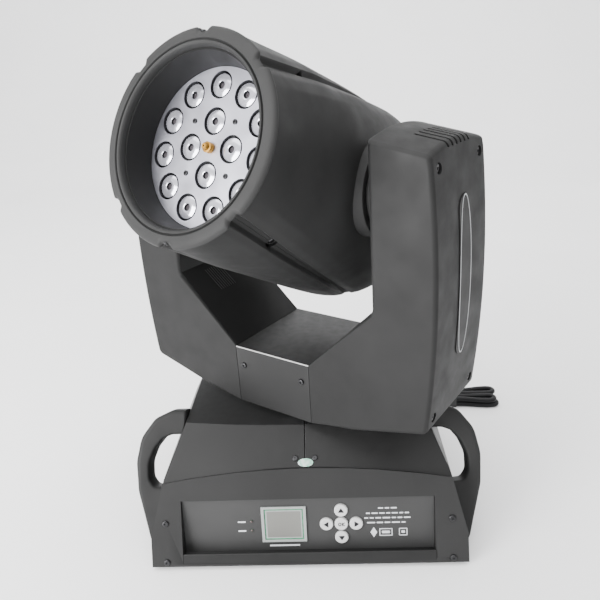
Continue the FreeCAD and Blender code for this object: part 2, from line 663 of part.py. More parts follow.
# ---------------------------------------------------------------- yoke
def yoke_hub():
    """Hollow pan hub: lower pulley rim, bearing journal and the flange under the crossbar."""
    base, rim = "pan_belt_base", "rim_radius + 1.5"
    top = f"{base} + pan_belt_wide"
    turned_body("yoke_hub", YOKE, "XZ_Plane", "V_Axis", [
        ("hub_bore", f"{base} - 4"), (rim, f"{base} - 1"), (rim, f"{base} - 0.4"),
        ("rim_radius", f"{base} - 0.4"), ("rim_radius", f"{top} + 0.4"), (rim, f"{top} + 0.4"),
        (rim, f"{top} + 1"), ("hub_radius", f"{top} + 1"), ("hub_radius", "belly_height - 5"),
        ("flange_radius", "belly_height - 5"), ("flange_radius", "belly_height"),
        ("hub_bore", "belly_height")])


def crossbar():
    """Stepped steel plate: low in the middle over the hub, raised where it carries the arm frames."""
    body = new_body("yoke_crossbar", YOKE)
    sketch = sketch_on(body, "XZ_Plane")
    top, low, thick = 160, "belly_height", 4
    half, foot, knee = 115, 40, 54
    raised, sunk = top - thick, f"{low} + {thick}"
    outline(sketch, [(-half, raised), (-knee, raised), (-foot, low), (foot, low), (knee, raised),
                     (half, raised), (half, top), (knee - 2, top), (foot - 2, sunk), (2 - foot, sunk),
                     (2 - knee, top), (-half, top)])
    pad(body, sketch, "yoke_depth - 2 * yoke_wall - 0.6", centred=True)
    bore = sketch_on(body, "XY_Plane", "belly_height + 4")
    ring(bore, 0, 0, "hub_bore")
    pocket(body, bore, 10)


def arm_frames():
    """Two jogged steel uprights with a round seat for the tilt bearings."""
    body = new_body("arm_frames", YOKE)
    sketch = sketch_on(body, "XZ_Plane")
    for side in (-1, 1):
        path = [(112, 160.1), (115, 160.1), (133, 292), (133, 420), (130, 420), (130, 292.6)]
        outline(sketch, [(side * x, z) for x, z in path])
    pad(body, sketch, 70, centred=True)
    seats = sketch_on(body, "YZ_Plane")
    ring(seats, 0, "tilt_height", "tilt_bearing_radius")
    pocket(body, seats, 400, centred=True)


def tilt_bearings():
    body = new_body("tilt_bearings", YOKE)
    sketch = sketch_on(body, "XZ_Plane")
    inner, outer = "trunnion_radius + bearing_clear", "tilt_bearing_radius"
    for side in (-1, 1):
        outline(sketch, [(side * 127, inner), (side * 127, outer), (side * 137, outer), (side * 137, inner)])
    turn = body.newObject("PartDesign::Revolution", "Bearing_Turn")
    turn.Profile = sketch
    turn.ReferenceAxis = (sketch, ["H_Axis"])
    turn.Angle = 360
    body.Placement = YOKE * Placement(Vector(0, 0, value("tilt_height")), Rotation())


def saddle():
    """One folded sheet over the middle of the yoke: front, top and rear."""
    body = new_body("yoke_saddle", YOKE)
    sketch = sketch_on(body, "YZ_Plane")
    half, inner = "yoke_depth / 2", "yoke_depth / 2 - yoke_sheet"
    top, low = "saddle_height", "belly_height"
    under = f"{top} - yoke_sheet"
    outline(sketch, [(f"-{half}", low), (f"-({inner})", low), (f"-({inner})", under), (inner, under),
                     (inner, low), (half, low), (half, top), (f"-{half}", top)])
    pad(body, sketch, "2 * saddle_half - 0.6", centred=True)
    holes = sketch_on(body, "XZ_Plane")
    for side in (-1, 1):
        ring(holes, f"{side} * {SADDLE_SCREW_X}", SADDLE_SCREW_Z, 1.8)
    pocket(body, holes, 300, centred=True)


def arm_outline(side, inset):
    """Front outline of one arm and its half of the belly; inset moves the outer faces in."""
    low = value("belly_height") + inset
    outer, mid, foot = value("arm_outer") - inset, value("arm_mid") - inset, value("arm_low") - inset
    seam = value("saddle_half") + SEAM / 2
    corners = [(seam, low), (98, low + 6), (foot, value("arm_low_height") + inset),
               (outer, value("arm_top_outer") - inset), (value("arm_inner"), value("arm_top_inner") - inset),
               (value("elbow_x"), value("elbow_height")), (seam, value("saddle_height"))]
    points = [Vector(x, 0, z) for x, z in corners]
    middle = Vector(mid, 0, value("arm_mid_height"))
    if side < 0:
        points = [Vector(-point.x, 0, point.z) for point in points]
        middle.x = -middle.x
    return points, {2: middle}


def arm_block(side, inset):
    """Solid arm: front outline swept through the depth, under a crowned top."""
    half = value("yoke_depth / 2") - inset
    points, bulges = arm_outline(side, inset)
    crown = value("arm_crown")
    lift = [0, 0, 0, crown, crown, 0, 0]
    raised = [Vector(point.x, -half, point.z + up) for point, up in zip(points, lift)]
    lifted = {index: Vector(point.x, -half, point.z) for index, point in bulges.items()}
    body = prism(raised, Vector(0, 2 * half, 0), lifted)
    corner = value("arm_top_outer") - inset
    slope = value("arm_top_inner - arm_top_outer") / value("arm_outer - arm_inner")
    reach = 60
    along = Vector(-side * 1, 0, slope).normalize()
    start = Vector(side * (value("arm_outer") + reach), 0, corner - slope * reach)
    lid = prism([start + Vector(0, -half, -400), start + Vector(0, half, -400), start + Vector(0, half, 0),
                 start + Vector(0, -half, 0)], along * 300, {2: start + Vector(0, 0, crown)})
    return body.common(lid)


def arm_shells():
    """Moulded buckets that enclose each arm, open towards the head where the inner panels close them."""
    for name, side in (("arm_shell_left", -1), ("arm_shell_right", 1)):
        wall = value("yoke_wall")
        shell = arm_block(side, 0).cut(arm_block(side, wall))
        open_points = [Vector(side * (value("saddle_half") - 5), -60, value("saddle_height") - 5 - wall),
                       Vector(side * value("elbow_x"), -60, value("elbow_height") - 5),
                       Vector(side * value("arm_inner"), -60, value("arm_top_inner") - wall)]
        half = value("yoke_depth / 2") - wall
        mouth = [Vector(point.x + side * 6, -half, point.z) for point in open_points]
        mouth += [Vector(open_points[2].x - side * 30, -half, open_points[2].z),
                  Vector(open_points[1].x - side * 30, -half, open_points[1].z + 40),
                  Vector(side * (value("saddle_half") - 30), -half, value("saddle_height") + 60)]
        shell = shell.cut(prism(mouth, Vector(0, 2 * half, 0)))
        tunnel = value("saddle_height - belly_height") - 2 * wall
        corner = Vector(side * value("saddle_half") - 6, -half, value("belly_height") + wall)
        shell = shell.cut(Part.makeBox(12, 2 * half, tunnel, corner))
        for count in range(6):
            corner = Vector(side * 165 - 17, -25.5 + count * 9, value("arm_top_outer") - 18)
            shell = shell.cut(Part.makeBox(34, 3.4, 40, corner))
        for across in (-ARM_SCREW_ACROSS, ARM_SCREW_ACROSS):
            for height in ARM_SCREW_HEIGHTS:
                start = Vector(side * 160, across, height)
                shell = shell.cut(Part.makeCylinder(4.2, 40, start, Vector(side, 0, 0)))
        solid_piece(name, YOKE, max(shell.Solids, key=lambda solid: solid.Volume))


def outer_x(height):
    """Outer face of the arm at a height, on its arc."""
    circle = Part.Circle(Vector(value("arm_low"), value("arm_low_height"), 0),
                         Vector(value("arm_mid"), value("arm_mid_height"), 0),
                         Vector(value("arm_outer"), value(ARM_ARC_TOP), 0))
    rise = height - circle.Center.y
    return circle.Center.x + math.sqrt(circle.Radius ** 2 - rise ** 2)


def inner_panels():
    """Folded sheet panels that face the head, with the round opening for the trunnion."""
    sheet_thick = value("yoke_sheet")
    for name, side in (("inner_panel_left", -1), ("inner_panel_right", 1)):
        body = new_body(name, YOKE)
        sketch = sketch_on(body, "XZ_Plane")
        path = [("saddle_half + 0.3", "saddle_height"), ("elbow_x", "elbow_height"),
                ("arm_inner + 0.1", "arm_top_inner - yoke_wall - 0.3"),
                ("arm_inner + yoke_sheet + 0.1", "arm_top_inner - yoke_wall - 0.3"),
                ("elbow_x + yoke_sheet", "elbow_height - 0.6"),
                ("saddle_half + 0.3", "saddle_height - 1.4 * yoke_sheet")]
        outline(sketch, [(f"{side} * ({across})", up) for across, up in path])
        pad(body, sketch, "yoke_depth - 2 * yoke_wall - 0.4", centred=True)
        opening = sketch_on(body, "YZ_Plane", f"{side} * 100")
        ring(opening, 0, "tilt_height", "pivot_radius + 2")
        pocket(body, opening, 80, centred=True)


def labels():
    """Oval badges on the outer faces, bent to the arms' curve."""
    shapes = []
    for side in (-1, 1):
        low, high = BADGE_LOW + BADGE_HALF, BADGE_HIGH - BADGE_HALF
        oval = Part.makeBox(60, 2 * BADGE_HALF, high - low, Vector(min(0, 60 * side), -BADGE_HALF, low))
        for height in (low, high):
            oval = oval.fuse(Part.makeCylinder(BADGE_HALF, 60, Vector(0, 0, height), Vector(side, 0, 0)))
        oval.translate(Vector(side * 150, BADGE_SHIFT * side, 0))
        arcs = []
        for grow in (0.05, 0.85):
            arcs.append([Vector(side * (value(across) + grow), -60, value(tall)) for across, tall in (
                ("arm_low", "arm_low_height"), ("arm_mid", "arm_mid_height"), ("arm_outer", ARM_ARC_TOP))])
        (low_in, mid_in, high_in), (low_out, mid_out, high_out) = arcs
        slab = prism([low_in, high_in, high_out, low_out], Vector(0, 120, 0), {0: mid_in, 2: mid_out})
        shapes.append(oval.common(slab).Solids[0])
    solid_piece("side_labels", YOKE, Part.makeCompound(shapes))


def yoke_screws():
    """Screws sunk in the arms' outer corners and on the saddle's front and rear."""
    shapes = []
    for side in (-1, 1):
        for across in (-ARM_SCREW_ACROSS, ARM_SCREW_ACROSS):
            for height in ARM_SCREW_HEIGHTS:
                spot = Vector(side * (outer_x(height) - 3.4), across, height)
                shapes.append(screw(spot, Vector(side, 0, 0), 3.9, 2, 1.8, 8))
        for across in (-SADDLE_SCREW_X, SADDLE_SCREW_X):
            spot = Vector(across, side * value("yoke_depth / 2"), SADDLE_SCREW_Z)
            shapes.append(screw(spot, Vector(0, side, 0), 3.4, 1.9, 1.6, 6))
    solid_piece("yoke_screws", YOKE, Part.makeCompound(shapes))


def tilt_drive():
    """Flat motor on the right upright, its pulley and the belt to the trunnion's rim."""
    turn = Rotation(Vector(0, 1, 0), 90)
    place = YOKE * Placement(Vector(value("tilt_belt_x") - 2.5, 0, value("tilt_motor_height")), turn)
    stepper("tilt_motor", place, 19, 1.5)
    turned_body("tilt_motor_pulley", place, "XZ_Plane", "V_Axis", [
        (0, -6), (2.5, -6), (2.5, 2), ("tilt_pinion_radius + 1.5", 2), ("tilt_pinion_radius + 1.5", 2.4),
        ("tilt_pinion_radius", 2.4), ("tilt_pinion_radius", 8.6), ("tilt_pinion_radius + 1.5", 8.6),
        ("tilt_pinion_radius + 1.5", 9), (0, 9)])
    loop = belt(value("tilt_rim_radius"), value("tilt_height - tilt_motor_height"),
                value("tilt_pinion_radius"), 5.6)
    seat = Vector(value("tilt_belt_x") + 0.2, 0, value("tilt_height"))
    loop.Placement = Placement(seat, turn)
    solid_piece("tilt_belt", YOKE, loop)


# ---------------------------------------------------------------- head
def lens_spots():
    """Ring radius and angle of every lens."""
    inner = [("inner_ring", 90 - 90 * count) for count in range(INNER_LENSES)]
    outer = [("outer_ring", 90 - count * 360 / OUTER_LENSES) for count in range(OUTER_LENSES)]
    return inner + outer


def bezel():
    """Front ring with a groove in its face and shallow notches where the housing's valleys end."""
    body = turned_body("bezel", HEAD, "XY_Plane", "V_Axis", [
        (77, "-bezel_front + 9"), (77, "-bezel_front + 3"), (79.4, "-bezel_front"), (80.2, "-bezel_front"),
        (80.2, "-bezel_front + 1.5"), (82, "-bezel_front + 1.5"), (82, "-bezel_front"),
        ("bezel_radius", "-bezel_front"), ("bezel_radius + 2", "-bezel_front + 3"), (95.2, -137.2),
        (90, -137.2), (86.5, "-bezel_front + 9")])
    doc.recompute()
    notch = sketch_on(body, "XZ_Plane", "bezel_front + 1")
    for angle in VALLEYS:
        turn = math.radians(angle)
        across, up = Vector(math.cos(turn), math.sin(turn), 0), Vector(-math.sin(turn), math.cos(turn), 0)
        corners = [across * reach + up * half for reach, half in ((88, -5), (99, -7), (99, 7), (88, 5))]
        outline(notch, [(corner.x, corner.y) for corner in corners])
    pocket(body, notch, 40)


def shell_profile(inset):
    """Meridian of the housing from the bezel to the tail, moved in by inset: radius over distance."""
    nodes = [(95, 137), (101, 85), (104.5, 40), (107.5, 0), (111, -50), (112.5, -84)]
    front = [Vector(radius - inset, -distance, 0) for radius, distance in nodes]
    curve = Part.BSplineCurve()
    curve.interpolate(front)
    tail_end = Vector(value("tail_radius"), value("tail_back") - inset, 0)
    bend = Vector(106 - inset * 0.8, 106 - inset * 0.6, 0)
    return [curve.toShape(), Part.Arc(front[-1], bend, tail_end).toShape()], front[0], tail_end


def band(outer_inset, inner_inset, start, sweep):
    """Part of the housing wall between two insets, over a sweep of degrees."""
    outer, outer_front, outer_tail = shell_profile(outer_inset)
    inner, inner_front, inner_tail = shell_profile(inner_inset)
    edges = outer + [Part.LineSegment(outer_tail, inner_tail).toShape()] + list(reversed(inner))
    edges.append(Part.LineSegment(inner_front, outer_front).toShape())
    face = Part.Face(Part.Wire(Part.__sortEdges__(edges)))
    solid = face.revolve(Vector(), Vector(0, 1, 0), sweep)
    solid.rotate(Vector(), Vector(0, 1, 0), start)
    return solid


def head_shells():
    """Four housing quarters; raised lobes part along valleys, two of which run down the top and bottom."""
    wall, depth = value("shell_wall"), value("valley_depth")
    gap = 0.25
    opening = Part.makeCylinder(value("pivot_radius") + 2, 300, Vector(-150, 0, 0), Vector(1, 0, 0))
    quarters = (("head_shell_right", 0), ("head_shell_top", 90), ("head_shell_left", 180),
                ("head_shell_bottom", 270))
    for name, centre in quarters:
        shell = band(0, wall, 45 + gap - centre - 90, 90 - 2 * gap)
        for angle in (centre - 45, centre + 45) + ((centre,) if centre % 180 == 90 else ()):
            shell = shell.cut(band(-3, depth, -angle - 2.7, 5.4))
        shell = shell.cut(opening)
        solid_piece(name, HEAD, max(shell.Solids, key=lambda solid: solid.Volume))


def rear_cap():
    """Slotted disc that closes the tail."""
    body = turned_body("rear_cap", HEAD, "XY_Plane", "V_Axis", [
        (0, "tail_back - 6"), ("tail_radius - 0.4", "tail_back - 6"), ("tail_radius - 0.4", "tail_back - 1"),
        ("tail_radius - 5", "tail_back + 1.5"), ("tail_radius - 25", "tail_back + 3"),
        (0, "tail_back + 3.5")])
    doc.recompute()
    slots = sketch_on(body, "XZ_Plane", "-tail_back - 5")
    for row in range(-3, 4):
        wide = 2 * math.sqrt(66 ** 2 - (row * 17) ** 2)
        block(slots, 0, row * 17, wide, 5)
    pocket(body, slots, 12, turned=True)


def baffle():
    turned_body("baffle_tube", HEAD, "XY_Plane", "V_Axis", [
        (71.9, "-lens_front - 0.1"), (75.3, -157.9), (76.8, -157.9), (73.4, "-lens_front - 0.1")])


def lens_plate():
    """Silver plate with a hole for every lens, for the nozzle and for its screws."""
    body = new_body("lens_plate", HEAD)
    sketch = sketch_on(body, "XZ_Plane", "lens_front - 2")
    ring(sketch, 0, 0, "lens_plate_radius")
    ring(sketch, 0, 0, 4.4)
    for radius, angle in lens_spots():
        ring(sketch, *polar(radius, angle), "lens_hole")
    for count in range(4):
        ring(sketch, *polar("screw_ring", 45 + 90 * count), 1.5)
    pad(body, sketch, 2)
    shapes = []
    for count in range(4):
        turn = math.radians(45 + 90 * count)
        reach = value("screw_ring")
        spot = Vector(reach * math.cos(turn), -value("lens_front"), reach * math.sin(turn))
        shapes.append(screw(spot, Vector(0, -1, 0), 2.4, 1.3, 1.3, 8))
    solid_piece("lens_plate_screws", HEAD, Part.makeCompound(shapes))


def lenses():
    """Clear collimators: cup behind the plate, low dome in front, with a dimple over the emitter."""
    front = value("lens_front")
    radius = value("lens_radius")
    shapes = []
    for ring_radius, angle in lens_spots():
        turn = math.radians(angle)
        reach = value(ring_radius)
        spot = Vector(reach * math.cos(turn), -front, reach * math.sin(turn))
        cup = Part.makeCone(4.6, radius, 11, spot + Vector(0, 11.6, 0), Vector(0, -1, 0))
        rim = Part.makeCylinder(radius, 1.4, spot + Vector(0, 0.7, 0), Vector(0, -1, 0))
        dome = Part.makeSphere(26, spot + Vector(0, 23.4, 0))
        dome = dome.common(Part.makeCylinder(radius - 0.6, 4, spot + Vector(0, -0.5, 0), Vector(0, -1, 0)))
        pit = Part.makeCylinder(2.4, 3, spot + Vector(0, -1, 0), Vector(0, -1, 0))
        shapes.append(cup.fuse([rim, dome]).cut(pit).removeSplitter().Solids[0])
    solid_piece("lenses", HEAD, Part.makeCompound(shapes))


def led_board():
    """Round circuit board with one emitter under every lens."""
    body = new_body("led_board", HEAD)
    disc = sketch_on(body, "XZ_Plane", "lens_front - 16.9")
    ring(disc, 0, 0, 69)
    ring(disc, 0, 0, 6)
    pad(body, disc, 1.8)
    domes = sketch_on(body, "XZ_Plane", "lens_front - 15.2")
    for radius, angle in lens_spots():
        ring(domes, *polar(radius, angle), 3)
    pad(body, domes, 3)


def heat_sink():
    """Finned block behind the board, drilled for the fog pipe."""
    body = new_body("heat_sink", HEAD)
    disc = sketch_on(body, "XZ_Plane", 70)
    ring(disc, 0, 0, 68)
    ring(disc, 0, 0, 6)
    pad(body, disc, "lens_front - 87")
    gaps = sketch_on(body, "XZ_Plane", 70)
    for count in range(-6, 7):
        if count != 0:
            block(gaps, count * 9, 0, 5, 150)
    pocket(body, gaps, "lens_front - 95", turned=True)


def fog_unit():
    """Brass nozzle with its pipe, and the heater block it screws into."""
    front = "lens_front"
    turned_body("nozzle", HEAD, "XY_Plane", "V_Axis", [
        (0.8, -56), (4, -56), (4, f"-{front} - 0.3"), (4.8, f"-{front} - 0.3"), (4.8, f"-{front} - 4.6"),
        (3.4, f"-{front} - 5"), (3, f"-{front} - 7.6"), (2.2, f"-{front} - 8.5"), (0.8, f"-{front} - 8.5")])
    body = new_body("heater_block", HEAD)
    sketch = sketch_on(body, "XZ_Plane", -45)
    block(sketch, 0, 0, 58, 58)
    pad(body, sketch, 104)
    bore = sketch_on(body, "XZ_Plane", 59)
    ring(bore, 0, 0, 4)
    pocket(body, bore, 30)
    grooves = sketch_on(body, "XZ_Plane", 59)
    for side in (-1, 1):
        for count in range(-2, 3):
            block(grooves, side * 28, count * 10, 4, 3)
    pocket(body, grooves, 110)


def head_chassis():
    """Rectangular steel frame that joins the trunnions, the heater and the heat sink."""
    body = new_body("head_chassis", HEAD)
    sketch = sketch_on(body, "XZ_Plane", -60)
    block(sketch, 0, 0, "2 * chassis_half", "2 * chassis_tall")
    block(sketch, 0, 0, "2 * chassis_half - 6", "2 * chassis_tall - 6")
    pad(body, sketch, 130)
    tray = sketch_on(body, "XZ_Plane", -45)
    block(tray, 0, -36, "2 * chassis_half - 6", 13)
    pad(body, tray, 104)


def trunnions():
    """Pivot bosses and shafts on both sides; the right shaft ends in the belt rim."""
    body = new_body("trunnions", HEAD)
    sketch = sketch_on(body, "XY_Plane")
    outline(sketch, [("-chassis_half", 0), ("-chassis_half", "pivot_radius"), (-118, "pivot_radius"),
                     (-118, "trunnion_radius"), (-141, "trunnion_radius"), (-141, 0)])
    x = "tilt_belt_x"
    outline(sketch, [("chassis_half", 0), ("chassis_half", "pivot_radius"), (118, "pivot_radius"),
                     (118, "trunnion_radius"), (f"{x} - 0.5", "trunnion_radius"),
                     (f"{x} - 0.5", "tilt_rim_radius + 1.5"), (f"{x} - 0.1", "tilt_rim_radius + 1.5"),
                     (f"{x} - 0.1", "tilt_rim_radius"), (f"{x} + 6.1", "tilt_rim_radius"),
                     (f"{x} + 6.1", "tilt_rim_radius + 1.5"), (f"{x} + 6.5", "tilt_rim_radius + 1.5"),
                     (f"{x} + 6.5", 0)])
    turn = body.newObject("PartDesign::Revolution", "Trunnion_Turn")
    turn.Profile = sketch
    turn.ReferenceAxis = (sketch, ["H_Axis"])
    turn.Angle = 360


def export():
    """Check every object and every sub-part, then write one STEP file per sub-part."""
    doc.recompute()
    for item in doc.Objects:
        if "Invalid" in item.State or "Error" in item.State:
            raise RuntimeError(item.Label + " did not compute")
    os.makedirs("parts", exist_ok=True)
    for piece in pieces:
        shape = piece.Shape
        if shape.isNull() or not shape.isValid() or not shape.Solids:
            raise RuntimeError(piece.Label + " has no valid solid")
        shape.exportStep(os.path.join("parts", piece.Label + ".step"))
        box = shape.optimalBoundingBox(False)
        print(f"{piece.Label:22s} solids {len(shape.Solids):2d} volume {shape.Volume / 1000:8.1f} cm3",
              [round(edge) for edge in (box.XMin, box.XMax, box.YMin, box.YMax, box.ZMin, box.ZMax)])
    print(len(pieces), "sub-parts")


for build in (base_floor, front_panel, rear_panel, rear_sockets, covers, base_screws, control_plate, buttons,
              display, chassis, pan_drive, power_supply, fluid_tank, gland, cord_lead, hank, plug, yoke_hub,
              crossbar, arm_frames, tilt_bearings, saddle, arm_shells, inner_panels, labels, yoke_screws,
              tilt_drive, bezel, head_shells, rear_cap, baffle, lens_plate, lenses, led_board, heat_sink,
              fog_unit, head_chassis, trunnions):
    build()
for label, side in (("handle_left", -1), ("handle_right", 1)):
    handle(label, side)
export()
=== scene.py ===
import json
import math
import random

import bmesh
import bpy
from mathutils import Matrix, Vector
from mathutils.geometry import tessellate_polygon


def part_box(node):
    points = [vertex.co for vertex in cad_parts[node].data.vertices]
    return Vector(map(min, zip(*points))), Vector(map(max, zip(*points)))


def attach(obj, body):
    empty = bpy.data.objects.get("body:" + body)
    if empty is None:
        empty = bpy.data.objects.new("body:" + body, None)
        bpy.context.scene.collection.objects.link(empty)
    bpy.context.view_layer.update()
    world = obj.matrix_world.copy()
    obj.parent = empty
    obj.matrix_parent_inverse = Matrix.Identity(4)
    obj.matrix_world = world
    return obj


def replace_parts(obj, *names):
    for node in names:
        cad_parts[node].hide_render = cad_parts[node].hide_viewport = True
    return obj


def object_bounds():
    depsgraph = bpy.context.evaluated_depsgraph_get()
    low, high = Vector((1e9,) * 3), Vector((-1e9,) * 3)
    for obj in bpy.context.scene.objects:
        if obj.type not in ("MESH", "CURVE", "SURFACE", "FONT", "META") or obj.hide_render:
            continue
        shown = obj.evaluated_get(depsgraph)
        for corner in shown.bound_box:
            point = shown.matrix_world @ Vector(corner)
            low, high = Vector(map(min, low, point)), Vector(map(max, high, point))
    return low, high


# Looks of the moving head light: housings, finishes, cord, small print, floor, lights and camera.
# Lengths are in metres; mm() turns the millimetres that the shapes are written in into metres.

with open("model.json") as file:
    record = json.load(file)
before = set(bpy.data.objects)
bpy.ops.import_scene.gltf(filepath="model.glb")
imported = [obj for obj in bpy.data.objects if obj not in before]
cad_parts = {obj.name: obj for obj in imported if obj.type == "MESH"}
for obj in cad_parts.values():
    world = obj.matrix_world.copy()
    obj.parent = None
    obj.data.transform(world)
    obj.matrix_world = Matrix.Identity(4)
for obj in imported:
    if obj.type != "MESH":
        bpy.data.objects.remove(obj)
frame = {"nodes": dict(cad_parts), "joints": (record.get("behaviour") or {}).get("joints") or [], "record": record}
CAD_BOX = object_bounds()
NODES = frame["nodes"]
JOINTS = {joint["name"]: joint for joint in frame["joints"]}
random.seed(7)


def mm(*lengths):
    scaled = [length * 0.001 for length in lengths]
    return scaled[0] if len(scaled) == 1 else Vector(scaled)


# -------------------- frames of the moving bodies
TILT_AXIS = Vector(JOINTS["tilt"]["axis"])
TILT_SPOT = Vector(JOINTS["tilt"]["pos_m"])
TILT_UP = math.radians(24)
PANEL_LEAN = math.radians(20.2)
PLATE_TURN = math.radians(20.2 - 9.4)
YOKE = Matrix.Rotation(math.atan2(TILT_AXIS.y, TILT_AXIS.x), 4, "Z")
HEAD = Matrix.Translation(TILT_SPOT) @ YOKE @ Matrix.Rotation(-TILT_UP, 4, "X")
PANEL_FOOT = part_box("front_panel")[0].y
FRONT = Matrix.Translation((0, PANEL_FOOT, 0)) @ Matrix.Rotation(-PANEL_LEAN, 4, "X")
PLATE = FRONT @ Matrix.Translation(mm(0, 2.6, 72.2)) @ Matrix.Rotation(PLATE_TURN, 4, "X")


# -------------------- materials
class Finish:
    """A Principled material with helpers for procedural colour, roughness and bump."""

    def __init__(self, name, roughness=0.5, metallic=0.0, specular=0.5):
        self.material = bpy.data.materials.new(name)
        self.material.use_nodes = True
        self.nodes = self.material.node_tree.nodes
        self.links = self.material.node_tree.links
        self.shader = self.nodes["Principled BSDF"]
        self.place = self.nodes.new("ShaderNodeTexCoord").outputs["Object"]
        self.normal = None
        self.set("Roughness", roughness)
        self.set("Metallic", metallic)
        self.set("Specular IOR Level", specular)

    def set(self, socket, amount):
        self.shader.inputs[socket].default_value = amount

    def stretched(self, scale):
        mapping = self.nodes.new("ShaderNodeMapping")
        mapping.inputs["Scale"].default_value = scale
        self.links.new(self.place, mapping.inputs["Vector"])
        return mapping.outputs["Vector"]

    def noise(self, scale, detail, stretch=None):
        texture = self.nodes.new("ShaderNodeTexNoise")
        texture.inputs["Scale"].default_value = scale
        texture.inputs["Detail"].default_value = detail
        self.links.new(self.stretched(stretch) if stretch else self.place, texture.inputs["Vector"])
        return texture.outputs["Fac"]

    def cells(self, scale):
        texture = self.nodes.new("ShaderNodeTexVoronoi")
        texture.feature = "SMOOTH_F1"
        texture.inputs["Scale"].default_value = scale
        self.links.new(self.place, texture.inputs["Vector"])
        return texture.outputs["Distance"]

    def colour(self, source, stops):
        ramp = self.nodes.new("ShaderNodeValToRGB")
        elements = ramp.color_ramp.elements
        elements[0].position = stops[0][0]
        elements[0].color = (*stops[0][1], 1)
        elements[1].position = stops[-1][0]
        elements[1].color = (*stops[-1][1], 1)
        for position, colour in stops[1:-1]:
            elements.new(position).color = (*colour, 1)
        self.links.new(source, ramp.inputs["Fac"])
        self.links.new(ramp.outputs["Color"], self.shader.inputs["Base Color"])

    def rough(self, source, low, high):
        spread = self.nodes.new("ShaderNodeMapRange")
        for socket, amount in (("From Min", 0.3), ("From Max", 0.7), ("To Min", low), ("To Max", high)):
            spread.inputs[socket].default_value = amount
        self.links.new(source, spread.inputs["Value"])
        self.links.new(spread.outputs["Result"], self.shader.inputs["Roughness"])

    def bump(self, source, strength, depth_mm):
        bump = self.nodes.new("ShaderNodeBump")
        bump.inputs["Strength"].default_value = strength
        bump.inputs["Distance"].default_value = mm(depth_mm)
        self.links.new(source, bump.inputs["Height"])
        if self.normal:
            self.links.new(self.normal, bump.inputs["Normal"])
        self.normal = bump.outputs["Normal"]
        self.links.new(self.normal, self.shader.inputs["Normal"])


def grey(level, warm=0.0):
    return (level * (1 + warm), level, level * (1 - warm))


def moulded(name, level, grain=1500, depth=0.05, low=0.5, high=0.66):
    """Moulded plastic with a fine spark-eroded grain and faint flow marks."""
    finish = Finish(name, specular=0.16)
    clouds = finish.noise(9, 2)
    finish.colour(clouds, [(0.3, grey(level * 0.88)), (0.7, grey(level * 1.14))])
    finish.rough(finish.noise(40, 4), low, high)
    finish.bump(finish.cells(grain), 0.55, depth)
    return finish.material


def powder(name, level, low=0.34, high=0.46, specular=0.2):
    """Powder coated sheet: fine orange peel with small glints."""
    finish = Finish(name, specular=specular)
    finish.colour(finish.noise(15, 4), [(0.3, grey(level * 0.9)), (0.7, grey(level * 1.12))])
    finish.rough(finish.noise(120, 3), low, high)
    finish.bump(finish.noise(900, 2), 0.35, 0.05)
    return finish.material


def metal(name, colour, stretch, low, high, streak=900):
    """Bare metal with fine drawn lines along one direction."""
    finish = Finish(name, metallic=1.0)
    lines = finish.noise(streak, 5, stretch)
    finish.colour(lines, [(0.25, tuple(c * 0.86 for c in colour)), (0.75, colour)])
    finish.rough(lines, low, high)
    finish.bump(lines, 0.12, 0.02)
    return finish.material


def rubber(name, level):
    """Matt rubber, slightly cloudy."""
    finish = Finish(name, specular=0.38)
    finish.colour(finish.noise(60, 4), [(0.3, grey(level * 0.8)), (0.7, grey(level * 1.2))])
    finish.rough(finish.noise(90, 3), 0.42, 0.62)
    finish.bump(finish.noise(700, 3), 0.25, 0.05)
    return finish.material


def clear_lens():
    finish = Finish("clear_lens", roughness=0.04)
    finish.set("IOR", 1.49)
    finish.set("Transmission Weight", 1.0)
    finish.colour(finish.noise(70, 2), [(0.3, (0.93, 0.95, 0.97)), (0.7, (0.98, 0.99, 1.0))])
    finish.bump(finish.noise(60, 1), 0.08, 0.1)
    return finish.material


def lens_face():
    """Clear moulded lens over a silvered cup: bright and glossy."""
    finish = Finish("lens_face", roughness=0.14, metallic=0.7)
    finish.set("Coat Weight", 0.8)
    finish.set("Coat Roughness", 0.04)
    finish.colour(finish.noise(120, 2), [(0.3, (0.56, 0.56, 0.63)), (0.7, (0.64, 0.64, 0.7))])
    finish.bump(finish.noise(90, 2), 0.12, 0.15)
    return finish.material


def sticker_finish():
    """White sticker with soft green and blue patches."""
    finish = Finish("sticker", roughness=0.3)
    finish.colour(finish.noise(95, 1), [(0.4, (0.75, 0.78, 0.76)), (0.5, (0.2, 0.5, 0.35)),
                                        (0.62, (0.7, 0.75, 0.78))])
    finish.bump(finish.noise(300, 2), 0.05, 0.02)
    return finish.material


def lcd_glass():
    """Switched-off display: grey film under a clear window."""
    finish = Finish("lcd_glass", roughness=0.3, specular=0.3)
    finish.set("Coat Weight", 0.15)
    finish.set("Coat Roughness", 0.03)
    finish.colour(finish.noise(11, 1), [(0.35, (0.13, 0.13, 0.12)), (0.6, (0.175, 0.178, 0.163))])
    finish.bump(finish.noise(2600, 1), 0.05, 0.01)
    return finish.material


def gloss(name, colour, roughness, coat, specular=0.5):
    """Smooth plastic, ink or enamel, with a clear coat where coat is above 0."""
    finish = Finish(name, roughness=roughness, specular=specular)
    finish.set("Coat Weight", coat)
    finish.colour(finish.noise(50, 3), [(0.3, tuple(c * 0.93 for c in colour)), (0.7, colour)])
    finish.bump(finish.noise(300, 2), 0.06, 0.03)
    return finish.material


def board():
    """Circuit board: solder mask with darker tracks."""
    finish = Finish("board_green", roughness=0.3)
    finish.colour(finish.cells(260), [(0.2, (0.01, 0.11, 0.05)), (0.5, (0.02, 0.2, 0.09))])
    finish.bump(finish.cells(260), 0.3, 0.05)
    return finish.material


